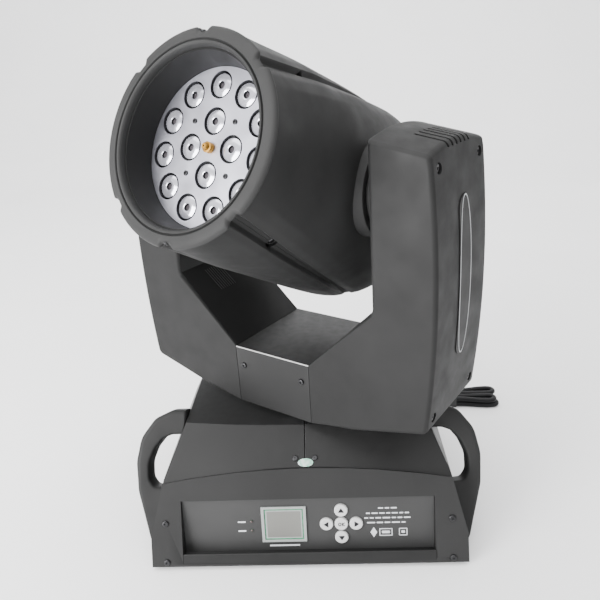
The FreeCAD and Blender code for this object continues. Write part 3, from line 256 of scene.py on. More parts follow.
def floor_finish():
    finish = Finish("floor_paper", roughness=0.9, specular=0.1)
    finish.colour(finish.noise(3, 2), [(0.3, (0.93, 0.93, 0.935)), (0.7, (0.955, 0.955, 0.96))])
    return finish.material


BLACK = 0.02
FINISHES = {
    "moulded_black": moulded("moulded_black", BLACK),
    "sheet_black": powder("sheet_black", BLACK * 0.72),
    "plate_grey": powder("plate_grey", 0.036, 0.38, 0.5),
    "steel": powder("steel", 0.035, 0.3, 0.42, 0.5),
    "aluminium": metal("aluminium", (0.68, 0.69, 0.7), (1, 14, 1), 0.25, 0.4),
    "silver_plate": metal("silver_plate", (0.6, 0.6, 0.67), (1, 1, 1), 0.3, 0.38, 45),
    "screw_steel": metal("screw_steel", (0.05, 0.05, 0.052), (4, 4, 4), 0.25, 0.4),
    "key_grey": moulded("key_grey", 0.5, 2200, 0.02, 0.3, 0.42),
    "rubber": rubber("rubber", 0.018),
    "clear_lens": clear_lens(),
    "brass": metal("brass", (0.42, 0.23, 0.05), (1, 9, 1), 0.5, 0.64),
    "board_green": board(),
    "frame_white": gloss("frame_white", (0.27, 0.285, 0.278), 0.4, 0.1),
    "badge": moulded("badge", BLACK * 0.8, 1900, 0.03, 0.5, 0.6),
    "connector_black": moulded("connector_black", 0.02, 1800, 0.03),
    "tank_white": gloss("tank_white", (0.78, 0.78, 0.74), 0.4, 0.1),
    "motor_grey": powder("motor_grey", 0.05),
}
# Darker copy of the moulded black for the arms: painted shade, the same plastic made dimmer.
ARM_BLACK_SHADED = moulded("arm_black_shaded", BLACK * 0.72)
# Lighter copy of the moulded black for the front ring: painted light for the rim that faces the lamps.
RING_BLACK_LIT = moulded("ring_black_lit", BLACK * 1.3)
PRINT = gloss("print_white", (0.62, 0.63, 0.65), 0.45, 0.0)
BADGE_LINE = gloss("badge_line", (0.4, 0.41, 0.42), 0.5, 0.0)
# Near-black ink for the print on the keys; it also lines the gaps round the lenses as painted shade, and colours
# the lens dimples and the display's edge.
DARK_PRINT_AND_SHADE = gloss("print_dark_and_shade", (0.012, 0.012, 0.014), 0.5, 0.0, 0.15)
EMITTER = gloss("emitter", (0.035, 0.03, 0.035), 0.5, 0.1, 0.3)
# Pale finish for the saddle's top front edge: a painted highlight standing in for light caught on that edge.
PAINTED_EDGE_HIGHLIGHT = gloss("painted_edge_highlight", (0.5, 0.5, 0.49), 0.35, 0.0)
LAMP = gloss("lamp_dark", (0.05, 0.03, 0.03), 0.2, 0.4)
BAFFLE = moulded("baffle_black", 0.012, 1500, 0.04, 0.5, 0.62)
SCREEN = lcd_glass()
LENS_FACE = lens_face()
STICKER = sticker_finish()
CORD_SHEATH = gloss("cord_sheath", (0.008, 0.008, 0.009), 0.5, 0.0, 0.2)


SLOT_OF = {part["node"]: part["material_slot"] for part in frame["record"]["subparts"]}
BODY_OF = {node: name for name, nodes in frame["record"]["behaviour"]["bodies"].items() for node in nodes}


def finish_cad_nodes():
    """Every CAD node takes the finish of its record slot."""
    for name, slot_name in SLOT_OF.items():
        node = NODES[name]
        finish = FINISHES[slot_name]
        if not node.material_slots:
            node.data.materials.append(finish)
        for slot in node.material_slots:
            slot.material = finish
    NODES["baffle_tube"].material_slots[0].material = BAFFLE


# -------------------- mesh helpers
def added(name, data):
    """New object in the scene."""
    item = bpy.data.objects.new(name, data)
    bpy.context.scene.collection.objects.link(item)
    return item


def circle_turns(count):
    """Angles evenly round a full circle."""
    return [2 * math.pi * step / count for step in range(count)]


def quarter_turns(count):
    """Angles from 0 to 90 degrees in count steps."""
    return [math.pi / 2 * step / count for step in range(count + 1)]


def shown(name, mesh, body, slot, place=None, material=None, sharp=35):
    """Add a mesh as a piece that rides on a body; place moves its points, never its object."""
    if place:
        mesh.transform(place)
    for face in mesh.polygons:
        face.use_smooth = True
    mesh.set_sharp_from_angle(angle=math.radians(sharp))
    mesh.materials.clear()
    mesh.materials.append(material or FINISHES[slot])
    piece = added(name, mesh)
    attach(piece, body)
    return piece


def loft(rings, closed=True, caps=False):
    """Mesh through rings of points; each ring is closed unless told otherwise."""
    count = len(rings[0])
    points = [point for ring in rings for point in ring]
    faces = []
    for ring in range(len(rings) - 1):
        for index in range(count if closed else count - 1):
            after = (index + 1) % count
            low, high = ring * count, (ring + 1) * count
            faces.append((low + index, low + after, high + after, high + index))
    if caps:
        for first, ring in ((0, rings[0]), ((len(rings) - 1) * count, rings[-1])):
            faces += [tuple(first + index for index in corners) for corners in tessellate_polygon([ring])]
    mesh = bpy.data.meshes.new("loft")
    mesh.from_pydata(points, [], faces)
    shape = bmesh.new()
    shape.from_mesh(mesh)
    bmesh.ops.recalc_face_normals(shape, faces=shape.faces)
    shape.to_mesh(mesh)
    shape.free()
    return mesh


def rounded_outline(corners, radii, steps=5):
    """Closed 2D outline whose corners are rounded; a radius of 0 keeps a corner sharp."""
    points = []
    for index, corner in enumerate(corners):
        radius = radii[index] if isinstance(radii, (list, tuple)) else radii
        here = Vector(corner)
        back = (Vector(corners[index - 1]) - here).normalized()
        ahead = (Vector(corners[(index + 1) % len(corners)]) - here).normalized()
        half = back.angle(ahead) / 2
        if radius <= 0 or half > math.radians(88):
            points.append(here)
            continue
        reach = radius / math.tan(half)
        centre = here + (back + ahead).normalized() * (radius / math.sin(half))
        start, end = here + back * reach - centre, here + ahead * reach - centre
        sweep = start.angle_signed(end)
        for step in range(steps + 1):
            turn = -sweep * step / steps
            cos, sin = math.cos(turn), math.sin(turn)
            points.append(centre + Vector((start.x * cos - start.y * sin, start.x * sin + start.y * cos)))
    return points


def inset(points, distance, keep=None):
    """Outline moved inwards by a distance; keep(point) holds a point where it is."""
    area = sum(a.x * b.y - b.x * a.y for a, b in zip(points, points[1:] + points[:1]))
    side = 1 if area > 0 else -1
    moved = []
    for index, here in enumerate(points):
        before = (here - points[index - 1]).normalized()
        after = (points[(index + 1) % len(points)] - here).normalized()
        normal_a = Vector((-before.y, before.x)) * side
        normal_b = Vector((-after.y, after.x)) * side
        middle = (normal_a + normal_b).normalized()
        stretch = 1 / max(0.5, middle.dot(normal_a))
        moved.append(here if keep and keep(here) else here + middle * distance * stretch)
    return moved


def plate_mesh(outline, low, high, edge, to_3d, steps):
    """Solid between two levels of an outline, its side drawn in by edge halfway up; to_3d places
    (across, up, level)."""
    stations = [(round(low + edge * math.sin(turn), 6), round(edge * (1 - math.cos(turn)), 6))
                for turn in quarter_turns(steps)]
    ends = [(high - (level - low), amount) for level, amount in reversed(stations)]
    return loft([[to_3d(point.x, point.y, level) for point in inset(outline, amount)]
                 for level, amount in stations + ends], caps=True)


def join_meshes(meshes):
    """One mesh out of several, without touching any of them."""
    joined = bmesh.new()
    for mesh in meshes:
        joined.from_mesh(mesh)
    result = bpy.data.meshes.new("joined")
    joined.to_mesh(result)
    joined.free()
    return result


def carve(mesh, cutters):
    """Mesh with the cutters' volume taken out of it."""
    host = added("host", mesh)
    tool = added("tool", join_meshes(cutters))
    cut = host.modifiers.new("Cut", "BOOLEAN")
    cut.operation = "DIFFERENCE"
    cut.solver = "EXACT"
    cut.use_self = True
    cut.object = tool
    bpy.context.view_layer.update()
    result = bpy.data.meshes.new_from_object(host.evaluated_get(bpy.context.evaluated_depsgraph_get()))
    bpy.data.objects.remove(host)
    bpy.data.objects.remove(tool)
    return result


def rectangle(left, low, right, high):
    return [(left, low), (right, low), (right, high), (left, high)]


def box_mesh(low, high):
    """Axis-aligned cutter."""
    corners = rectangle(low.x, low.y, high.x, high.y)
    return loft([[Vector((x, y, z)) for x, y in corners] for z in (low.z, high.z)], caps=True)


def rod_mesh(start, end, radius, sides=32):
    """Round bar between two points."""
    along = (end - start).normalized()
    across = along.orthogonal().normalized()
    up = along.cross(across)
    return loft([[spot + (across * math.cos(turn) + up * math.sin(turn)) * radius
                  for turn in circle_turns(sides)] for spot in (start, end)], caps=True)


def softened(node, width, chosen=None, chosen_width=1, paint_highlight=False):
    """Copy of a CAD node with rounded edges; it stands for the node. chosen(point) picks edges
    that get a wider rounding, which may get a pale finish as a painted highlight."""
    mesh = NODES[node].data.copy()
    clean = bmesh.new()
    clean.from_mesh(mesh)
    bmesh.ops.remove_doubles(clean, verts=clean.verts, dist=mm(0.01))
    bmesh.ops.dissolve_limit(clean, angle_limit=math.radians(1.5), verts=clean.verts, edges=clean.edges)
    if chosen:
        edges = [edge for edge in clean.edges if all(chosen(vertex.co) for vertex in edge.verts)]
        bmesh.ops.bevel(clean, geom=edges, offset=mm(chosen_width), segments=5, profile=0.5, affect="EDGES",
                        material=1 if paint_highlight else 0)
    clean.to_mesh(mesh)
    clean.free()
    marks = [face.material_index for face in mesh.polygons]
    piece = shown("soft_" + node, mesh, BODY_OF[node], SLOT_OF[node])
    if paint_highlight:
        mesh.materials.append(PAINTED_EDGE_HIGHLIGHT)
        mesh.polygons.foreach_set("material_index", marks)
    bevel = piece.modifiers.new("Edges", "BEVEL")
    bevel.width = mm(width)
    bevel.segments = 3
    bevel.limit_method = "ANGLE"
    bevel.angle_limit = math.radians(30)
    bevel.harden_normals = True
    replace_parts(piece, node)


# -------------------- head: housing quarters and front ring
# Distances run back from the tilt axis, angles round the head from its right side.
MERIDIAN = [(-160.2, 92.8), (-137, 95), (-85, 101), (-40, 104.5), (0, 107.5), (50, 111), (84, 112.5),
            (97, 110.5), (107, 105), (114, 96.5), (118, 86)]
VALLEY_START = 42.5
VALLEY_DRIFT = 0.112
VALLEY_DEEP = 5
VALLEY_HALF = 3.8
NOTCHES = [VALLEY_START, 90, 180 - VALLEY_START, 180 + VALLEY_START, 270, 360 - VALLEY_START]
SIDE_FLAT = 9
PIVOT_SWELL = 0.6
BAND = 15.5
WALL = 3.2
SEAM = 0.1
HOUSING_STEPS = 120
RING_STEPS = 720
PIVOT_HOLE = 46.2
SCREW_BACK = -99
SCREW_WELL = 5.8


def ease(part):
    """Smooth step from 0 to 1."""
    part = max(0.0, min(1.0, part))
    return part * part * (3 - 2 * part)


def curve_between(stations, count):
    """Smooth curve through the stations, sampled evenly by index."""
    found = []
    for step in range(count + 1):
        along = step / count * (len(stations) - 1)
        index = min(int(along), len(stations) - 2)
        part = along - index
        p0, p1, p2, p3 = [Vector(stations[max(0, min(len(stations) - 1, index + shift))])
                          for shift in (-1, 0, 1, 2)]
        found.append(0.5 * (2 * p1 + (p2 - p0) * part + (2 * p0 - 5 * p1 + 4 * p2 - p3) * part ** 2
                            + (3 * p1 - p0 - 3 * p2 + p3) * part ** 3))
    return found


def gap_between(degrees, other):
    return abs((degrees - other + 180) % 360 - 180)


def valley_angle(distance):
    """The four long valleys drift away from the pivot sides towards the back."""
    return VALLEY_START + (distance + 164) * VALLEY_DRIFT


def round_point(radius, distance, degrees):
    """Point of the head at a radius, a distance behind the tilt axis and an angle seen from the front."""
    turn = math.radians(degrees)
    return mm(radius * math.cos(turn), distance, radius * math.sin(turn))


def housing_radius(radius, distance, degrees):
    """Round housing with creased flat sides, four long valleys and two short ones at top and bottom."""
    side = min(gap_between(degrees, 0), gap_between(degrees, 180))
    lean = valley_angle(distance)
    crease = math.cos(math.radians(lean - BAND))
    share = max(0.0, (math.cos(math.radians(side)) - crease) / (1 - crease))
    ends = ease((distance + 162) / 50) * ease((112 - distance) / 50)
    pivot = 1 - ease((abs(distance) - 46) / 40)
    flat = SIDE_FLAT * ends * (1 - PIVOT_SWELL * pivot) * share
    away = min(gap_between(degrees, place) for place in (lean, 180 - lean, 180 + lean, -lean))
    across = math.radians(away) * radius
    fade = ease((110 - distance) / 40)
    deep = fade * (VALLEY_DEEP * (1 - ease((across - VALLEY_HALF) / 3)) + 1.2 * (1 - ease((across - 6) / 10)))
    middle = math.radians(min(gap_between(degrees, 90), gap_between(degrees, 270))) * radius
    short = 3 * ease((-118 - distance) / 36) * (1 - ease((middle - 2) / 5))
    return radius - flat - deep - short


def housing_quarter(name, middle):
    """Quarter of the housing between two seams that follow the valleys, with turned-in rims."""
    profile = curve_between(MERIDIAN, 60)

    def ring(distance, radius, inwards):
        lean = valley_angle(distance)
        half = (lean if middle % 180 == 0 else 90 - lean) - SEAM
        points = []
        for step in range(HOUSING_STEPS + 1):
            part = step / HOUSING_STEPS
            part -= math.sin(2 * math.pi * part) / (2 * math.pi) * 0.85
            angle = middle - half + 2 * half * part
            points.append(round_point(housing_radius(radius, distance, angle) - inwards, distance, angle))
        return points

    outside = [ring(spot.x, spot.y, 0) for spot in profile]
    inside = [ring(spot.x - (0.6 if spot.x > 116 else 0), spot.y, WALL) for spot in profile]
    section = outside + list(reversed(inside))
    section.append(outside[0])
    mesh = loft(section, closed=False)
    ends = bmesh.new()
    ends.from_mesh(mesh)
    bmesh.ops.remove_doubles(ends, verts=ends.verts, dist=mm(0.005))
    bmesh.ops.holes_fill(ends, edges=[edge for edge in ends.edges if edge.is_boundary])
    bmesh.ops.recalc_face_normals(ends, faces=ends.faces)
    ends.to_mesh(mesh)
    ends.free()
    cutters = []
    if middle % 180 == 0:
        cutters.append(rod_mesh(mm(-150, 0, 0), mm(150, 0, 0), mm(PIVOT_HOLE), 96))
    for angle in screw_angles():
        foot = round_point(91.6, SCREW_BACK, angle)
        cutters.append(rod_mesh(foot, foot + round_point(20, 0, angle), mm(SCREW_WELL)))
    return shown(name, carve(mesh, cutters), "head", "moulded_black", HEAD, sharp=32)


def screw_angles():
    lean = valley_angle(SCREW_BACK)
    return (lean, 180 - lean, 180 + lean, 360 - lean)


def cross_screw(foot, outward, radius, tall):
    """Small pan head with a cross recess."""
    outward = outward.normalized()
    across = outward.orthogonal().normalized()
    rings = []
    for turn in quarter_turns(6):
        size = max(radius * math.cos(turn), radius * 0.05)
        level = tall * (0.35 + 0.65 * math.sin(turn))
        rings.append([foot + (Matrix.Rotation(math.radians(15 * side), 3, outward) @ across) * size
                      + outward * level for side in range(24)])
    rings.insert(0, [point - outward * tall * 0.35 for point in rings[0]])
    head = loft(rings, caps=True)
    arms = []
    for turn in (0, 90):
        along = Matrix.Rotation(math.radians(turn), 3, outward) @ across
        beside = outward.cross(along)
        arms.append(loft([[foot + (along * x + beside * y) * radius + outward * level
                           for x, y in rectangle(-0.62, -0.13, 0.62, 0.13)]
                          for level in (tall * 0.35, tall * 1.2)], caps=True))
    return carve(head, arms)


def housing():
    for side, middle in (("right", 0), ("top", 90), ("left", 180), ("bottom", 270)):
        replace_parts(housing_quarter("housing_" + side, middle), "head_shell_" + side)
    screws = []
    for angle in screw_angles():
        screws.append(cross_screw(round_point(90.4, SCREW_BACK, angle), round_point(1, 0, angle),
                                  mm(3.2), mm(2)))
    for angle in (90, 270):
        screws.append(cross_screw(round_point(88.6, -162.4, angle), round_point(1, -0.4, angle), mm(2.2),
                                  mm(1.4)))
    shown("housing_screws", join_meshes(screws), "head", "screw_steel", HEAD)
    bosses = []
    for side in (-1, 1):
        profile = [(92, 0.5), (92, 46), (107, 46), (108.2, 45.5), (108.7, 44.4), (108.7, 39), (117.6, 38.6),
                   (118, 38), (118, 33), (117.4, 32.4), (117.4, 0.5)]
        rings = [[mm(side * x, radius * math.cos(turn), radius * math.sin(turn)) for turn in circle_turns(96)]
                 for x, radius in profile]
        bosses.append(loft(rings, caps=True))
    shown("pivot_bosses", join_meshes(bosses), "head", "moulded_black", HEAD)


def bezel_ring():
    """Front ring: rolled inner lip, a groove, a flat rim with a crisp outer edge and notches."""
    profile = [(76.9, -157), (76.9, -161.2), (77.4, -163.4), (78.5, -164.7), (79.6, -165), (80.2, -164.7),
               (80.5, -163.2), (81.1, -162.6), (81.8, -162.9), (82, -164.4), (82.5, -165), (86, -165),
               (89.6, -164.5), (91.6, -163.6), (92.8, -162.3), (93.3, -161), (93, -160.2), (92.2, -159.6),
               (87.4, -159.4), (87.2, -150), (84, -150), (84, -157)]
    rings = []
    for radius, distance in profile:
        outer = ease((radius - 83) / 6)
        ring = []
        for step in range(RING_STEPS):
            angle = step * 360 / RING_STEPS
            across = math.radians(min(gap_between(angle, place) for place in NOTCHES)) * 93
            notch = 1 - ease((across - 4) / 5)
            ring.append(round_point(radius - 3.8 * outer * notch, distance, angle))
        rings.append(ring)
    # The ring takes the lighter copy of the moulded black: painted light.
    piece = shown("front_ring", loft(rings + rings[:1]), "head", "moulded_black", HEAD, RING_BLACK_LIT, sharp=40)
    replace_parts(piece, "bezel")


def lens_spots():
    """Inner cross of four lenses and an outer ring of eleven."""
    spots = [(23.7, 90 * count) for count in range(4)]
    return spots + [(55.5, 90 + 360 / 11 * count) for count in range(11)]


def turned(profile, middle, sides=40):
    """Rings of a turned shape whose axis runs along the head, from (radius, distance) pairs."""
    return loft([[mm(middle.x + radius * math.cos(turn), distance, middle.y + radius * math.sin(turn))
                  for turn in circle_turns(sides)] for radius, distance in profile])


def lens_details():
    """Clear front of every lens, its dimple and emitter, and a dark ring in the gap round it in the plate: painted
    shade for that gap.
    """
    faces, pits, gap_shades, emitters = [], [], [], []
    for reach, angle in lens_spots():
        turn = math.radians(angle)
        middle = Vector((reach * math.cos(turn), reach * math.sin(turn)))
        faces.append(turned([(10.55, -126), (10.6, -128.6), (10.2, -129.5), (8, -130.2), (5.4, -130.6),
                             (4.2, -130.6), (3.4, -130.4), (3.2, -129.9)], middle))
        pits.append(turned([(3.25, -130.1), (2.9, -129), (2.4, -128.4)], middle))
        gap_shades.append(turned([(11.0, -130.95), (10.95, -128.4), (10.4, -128.2)], middle))
        emitters.append(turned([(2.5, -128.45), (2, -128.9), (0.9, -129), (0.05, -128.4)], middle))
    piece = shown("lens_faces", join_meshes(faces), "head", "clear_lens", HEAD, LENS_FACE)
    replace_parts(piece, "lenses")
    shown("lens_dimples", join_meshes(pits), "head", "clear_lens", HEAD, DARK_PRINT_AND_SHADE)
    # Near-black ring lining the gap round each lens: painted shade.
    shown("lens_gap_shades", join_meshes(gap_shades), "head", "silver_plate", HEAD, DARK_PRINT_AND_SHADE)
    shown("lens_emitters", join_meshes(emitters), "head", "clear_lens", HEAD, EMITTER)


# -------------------- yoke: moulded arms
ARM_HALF = 60.4
ARM_TOP_RISE = 8
SLOT_PITCH = 9
SLOT_WIDE = 3.2
SLOT_FOOT = 430.5
ARM_CORNERS = [(49.3, 139.4), (98, 145.4), (181, 167.7), (178.5, 436.3), (121.2, 447), (124, 283.3),
               (49.3, 208.7)]
ARM_BOW = 188
ARM_EDGE = 4.5
ARM_WALL = 3
ARM_WELL = 5
ARM_CAVITY = [(30, 142.4), (98, 149), (177.5, 170), (184.6, 308), (175.3, 425), (121, 436), (90, 436),
              (90, 290), (30, 232)]


def arm_outline():
    """Front outline of the right arm, its outer side bowed out to ARM_BOW."""
    corners = rounded_outline(ARM_CORNERS, [0, 30, 7, 6, 2, 8, 0])
    low, high = Vector(ARM_CORNERS[2]), Vector(ARM_CORNERS[3])
    swell = ARM_BOW - (low.x + high.x) / 2
    points = []
    for index, point in enumerate(corners):
        points.append(point)
        after = corners[(index + 1) % len(corners)]
        if after.y - point.y > 200:
            for step in range(1, 24):
                points.append(point.lerp(after, step / 24))
    bowed = []
    for point in points:
        part = (point.y - low.y) / (high.y - low.y)
        outer = max(0.0, min(1.0, (point.x - 150) / 25))
        lift = 4 * part * (1 - part) if 0 < part < 1 else 0
        bowed.append(Vector((point.x + swell * lift * outer, point.y)))
    return bowed


def arm_shell(node, side):
    """Moulded arm: rounded rims, crowned top, hollow behind the inner panel, slots and screw wells."""
    outline = [Vector((side * point.x, point.y)) for point in arm_outline()]

    def place(across, up, level):
        top = ARM_CORNERS[4][1] - (abs(across) - ARM_CORNERS[4][0]) * 0.187
        share = max(0.0, min(1.0, (up - top + 14) / 14)) if abs(across) > 110 else 0
        return mm(across, level, up - ARM_TOP_RISE * share * (level / ARM_HALF) ** 2)

    straight = ARM_HALF - ARM_EDGE
    stations = [(straight + ARM_EDGE * math.cos(turn), ARM_EDGE * (1 - math.sin(turn)))
                for turn in quarter_turns(4)]
    levels = stations + [(straight - straight * 2 * step / 12, 0) for step in range(1, 12)]
    levels += [(-level, amount) for level, amount in reversed(stations)]
    seam = ARM_CORNERS[0][0] + 0.5
    rings = []
    for level, amount in levels:
        ring = inset(outline, amount, keep=lambda point: abs(point.x) < seam)
        rings.append([place(point.x, point.y, level) for point in ring])
    body = loft(rings, caps=True)
    cutters = [loft([[mm(side * x, level, z) for x, z in ARM_CAVITY]
                     for level in (ARM_WALL - ARM_HALF, ARM_HALF - ARM_WALL)], caps=True)]
    for count in range(6):
        across = -25.5 + SLOT_PITCH * count
        near, far = sorted((side * 148, side * 184))
        cutters.append(box_mesh(mm(near, across, SLOT_FOOT), mm(far, across + SLOT_WIDE, 460)))
    for across in (-46, 46):
        for height in (181, 417):
            start = mm(side * 160, across, height)
            cutters.append(rod_mesh(start, start + mm(side * 40, 0, 0), mm(ARM_WELL)))
    # The arms take the darker copy of the moulded black: painted shade.
    piece = shown("moulded_" + node, carve(body, cutters), "yoke", "moulded_black", YOKE, ARM_BLACK_SHADED, sharp=32)
    weighted = piece.modifiers.new("Normals", "WEIGHTED_NORMAL")
    weighted.keep_sharp = True
    weighted.weight = 80
    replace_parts(piece, node)


def badge_outline(side):
    """Pale line around the long oval badge, following the bowed outer side of an arm."""
    low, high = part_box("side_labels")
    half_tall, half_wide = (high.z - low.z) / 2 * 1000, 14
    middle_z = (high.z + low.z) / 2 * 1000
    (foot_x, foot_z), (top_x, top_z) = ARM_CORNERS[2:4]

    def surface(up):
        part = (up - foot_z) / (top_z - foot_z)
        swell = ARM_BOW - (foot_x + top_x) / 2
        return foot_x + (top_x - foot_x) * part + swell * 4 * part * (1 - part)

    def oval(margin):
        points = []
        for turn in circle_turns(120):
            cos, sin = math.cos(turn), math.sin(turn)
            points.append((math.copysign(abs(cos) ** 0.87, cos) * (half_wide - margin),
                           math.copysign(abs(sin) ** 0.87, sin) * (half_tall - margin)))
        return points

    rings = []
    for margin, level in ((0.6, 0.7), (0.6, 1.05), (1.9, 1.05), (1.9, 0.7)):
        rings.append([mm(side * (surface(middle_z + up) + level), across + 4 * side, middle_z + up)
                      for across, up in oval(margin)])
    return loft(rings + rings[:1])


def inner_slits():
    """Row of fine vent slits on the sloping inner panel of the left arm."""
    meshes = []
    for count in range(8):
        across = -26 + 3.5 * count
        meshes.append(plate_mesh(bar(-118, across, 22, 1.3), -0.3, 0.2, 0.05, lambda x, y, level: mm(
            x + level, y + (x + 118) * 0.12, 159.3 - x + level), 1))
    shown("inner_slits", join_meshes(meshes), "yoke", "badge", YOKE, FINISHES["steel"], sharp=60)


def badges():
    shown("badge_lines", join_meshes([badge_outline(side) for side in (-1, 1)]), "yoke", "badge", YOKE,
          BADGE_LINE, sharp=60)


# -------------------- base: handles and control plate details
RECESS_FOOT = mm(4)
RECESS_HALF = 136
LIP_LOW = 3.2
LIP_TOP = 14
LIP_DEEP = 3
HANDLE_MIDDLE = (165, 88)
HANDLE_FOOT = -119
HANDLE_LEAN = 0.59
HANDLE_DEEP = 27
HANDLE_RIM = 5
HANDLE_EYE_RIM = 3.2
HANDLE_RAYS = 180
KEY_MIDDLE = (36.3, -30.8)
KEY_PITCH = 16
KEY_TOP = 2.91
KEY_ARROWS = {"up": (0, 1), "down": (0, -1), "left": (-1, 0), "right": (1, 0)}
PRINT_FOOT = 0.31


def softened_parts():
    """CAD pieces that keep their shape and get rounded edges; two of them have one wider edge."""
    widths = {"rear_panel": 0.6, "cover_left": 0.8, "cover_right": 0.8, "lcd_frame": 0.5, "base_pan": 0.4,
              "rear_cap": 0.8, "feet": 1.2}
    for node, width in widths.items():
        softened(node, width)

    panel = FRONT.inverted()

    def recess_foot(point):
        spot = panel @ point
        return abs(spot.y) < mm(0.3) and abs(spot.z - RECESS_FOOT) < mm(0.6)

    softened("front_panel", 0.6, chosen=recess_foot, chosen_width=3.2)
    yoke = YOKE.inverted()
    corners = [yoke @ vertex.co for vertex in NODES["yoke_saddle"].data.vertices]
    front = min(corner.y for corner in corners)
    top = max(corner.z for corner in corners)

    def saddle_brow(point):
        spot = yoke @ point
        return spot.y < front + mm(0.3) and spot.z > top - mm(0.3)

    # The saddle's top front edge gets a pale bevel: a painted highlight.
    softened("yoke_saddle", 0.7, chosen=saddle_brow, chosen_width=0.9, paint_highlight=True)


def wall_reach(level):
    """Half width of the sheet cover at a height."""
    if level < 30.8:
        return 170
    return 170 - (level - 30.8) * 0.266 if level < 86 else 155.3 - (level - 86) * 0.484


def ray_reach(outline, middle, angle):
    """Where a ray from the middle leaves a closed outline."""
    way = Vector((math.cos(angle), math.sin(angle)))
    best = 0.0
    for start, end in zip(outline, outline[1:] + outline[:1]):
        edge = end - start
        bottom = way.cross(edge)
        if abs(bottom) < 1e-9:
            continue
        along = (start - middle).cross(edge) / bottom
        share = (start - middle).cross(way) / bottom
        if along > 0 and -1e-6 <= share <= 1 + 1e-6:
            best = max(best, along)
    return middle + way * best


def carrying_handle(node, side):
    """Leaning carrying bow with rounded rims; its depth runs square to its lean except near the foot."""
    bow = rounded_outline([(158, 9), (174, 9.5), (182, 34), (191, 62), (193.5, 90), (188, 113), (172, 131),
                           (152, 138.5), (135.2, 138.5), (135.2, 128), (148, 84)],
                          [0, 4, 30, 26, 28, 24, 20, 12, 0, 0, 0])
    eye = rounded_outline([(wall_reach(64) - 4, 64.5), (172, 65.5), (178, 73), (178.5, 88), (172, 102),
                           (163, 111.5), (152, 115), (wall_reach(115) - 2, 115), (wall_reach(86) - 4, 86)],
                          [0, 8, 9, 20, 20, 12, 10, 0, 0])
    rings = []
    stations = [("bow", HANDLE_RIM, False, turn) for turn in (90, 67, 45, 22, 0)]
    stations += [("bow", HANDLE_RIM, True, turn) for turn in (0, 22, 45, 67, 90)]
    stations += [("eye", HANDLE_EYE_RIM, True, turn) for turn in (90, 60, 30, 0)]
    stations += [("eye", HANDLE_EYE_RIM, False, turn) for turn in (0, 30, 60, 90)]
    outer, inner = [[ray_reach(line, Vector(HANDLE_MIDDLE), turn) for turn in circle_turns(HANDLE_RAYS)]
                    for line in (bow, eye)]
    for edge, radius, far, turn in stations:
        bend = math.radians(turn)
        inward = radius * (1 - math.cos(bend))
        level = radius * (1 - math.sin(bend))
        level = HANDLE_DEEP - level if far else level
        ring = []
        for out, into in zip(outer, inner):
            across = (into - out).normalized()
            spot = out + across * inward if edge == "bow" else into - across * inward
            pitch = math.radians(27) * ease((spot.y - 15) / 50)
            front = HANDLE_FOOT + (spot.y - 8) * HANDLE_LEAN
            ring.append(mm(side * spot.x, front + level * math.cos(pitch), spot.y - level * math.sin(pitch)))
        rings.append(ring)
    piece = shown("bow_" + node, loft(rings + rings[:1]), "base", "moulded_black", sharp=50)
    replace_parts(piece, node)


def panel_lip():
    """Rolled lip along the foot of the front panel's recess."""
    section = rounded_outline([(-0.05, LIP_LOW), (-0.05, LIP_TOP), (LIP_DEEP, LIP_TOP), (LIP_DEEP, LIP_LOW)],
                              [0, 1.6, 1.6, 0], 5)
    half = RECESS_HALF - 0.3
    mesh = loft([[mm(across, point.x, point.y) for point in section] for across in (-half, half)], caps=True)
    shown("panel_lip", mesh, "base", "sheet_black", FRONT)


def full_plate():
    """Control plate widened until it reaches the recess's sides."""
    mesh = NODES["control_plate"].data.copy()
    inverse = PLATE.inverted()
    for vertex in mesh.vertices:
        spot = inverse @ vertex.co
        if abs(spot.x) > mm(131):
            spot.x = math.copysign(mm(135.6), spot.x)
            vertex.co = PLATE @ spot
    piece = shown("full_control_plate", mesh, "base", "plate_grey")
    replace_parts(piece, "control_plate")


def sticker():
    """Small plain oval sticker on the cover above the control panel."""
    rise = Vector((0, 0.741, 0.671))
    outward = Vector((0, -0.671, 0.741))
    foot = Vector((mm(0.5), -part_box("rear_panel")[0].y, mm(98.7)))
    rings = []
    for size, level in ((1, 0.1), (1, 0.35), (0.9, 0.5), (0.02, 0.5)):
        rings.append([foot + Vector((mm(8.2) * size * math.cos(turn), 0, 0))
                      + rise * mm(4.6 + 4.4 * size * math.sin(turn)) + outward * mm(level)
                      for turn in circle_turns(40)])
    shown("oval_sticker", loft(rings), "base", "frame_white", None, STICKER)


def printed(name, shapes, body="base", material=PRINT, slot="frame_white"):
    """Thin raised print on the control plate: each shape is an outline in the plate's plane."""
    meshes = []
    for outline, level in shapes:
        points = [Vector(point) for point in outline]
        meshes.append(plate_mesh(points, level, level + 0.2, 0.05, lambda x, z, y: mm(x, -y, z), 1))
    return shown(name, join_meshes(meshes), body, slot, PLATE, material, sharp=60)


def bar(left, low, wide, tall):
    return rounded_outline(rectangle(left, low, left + wide, low + tall), min(wide, tall) * 0.3, 3)


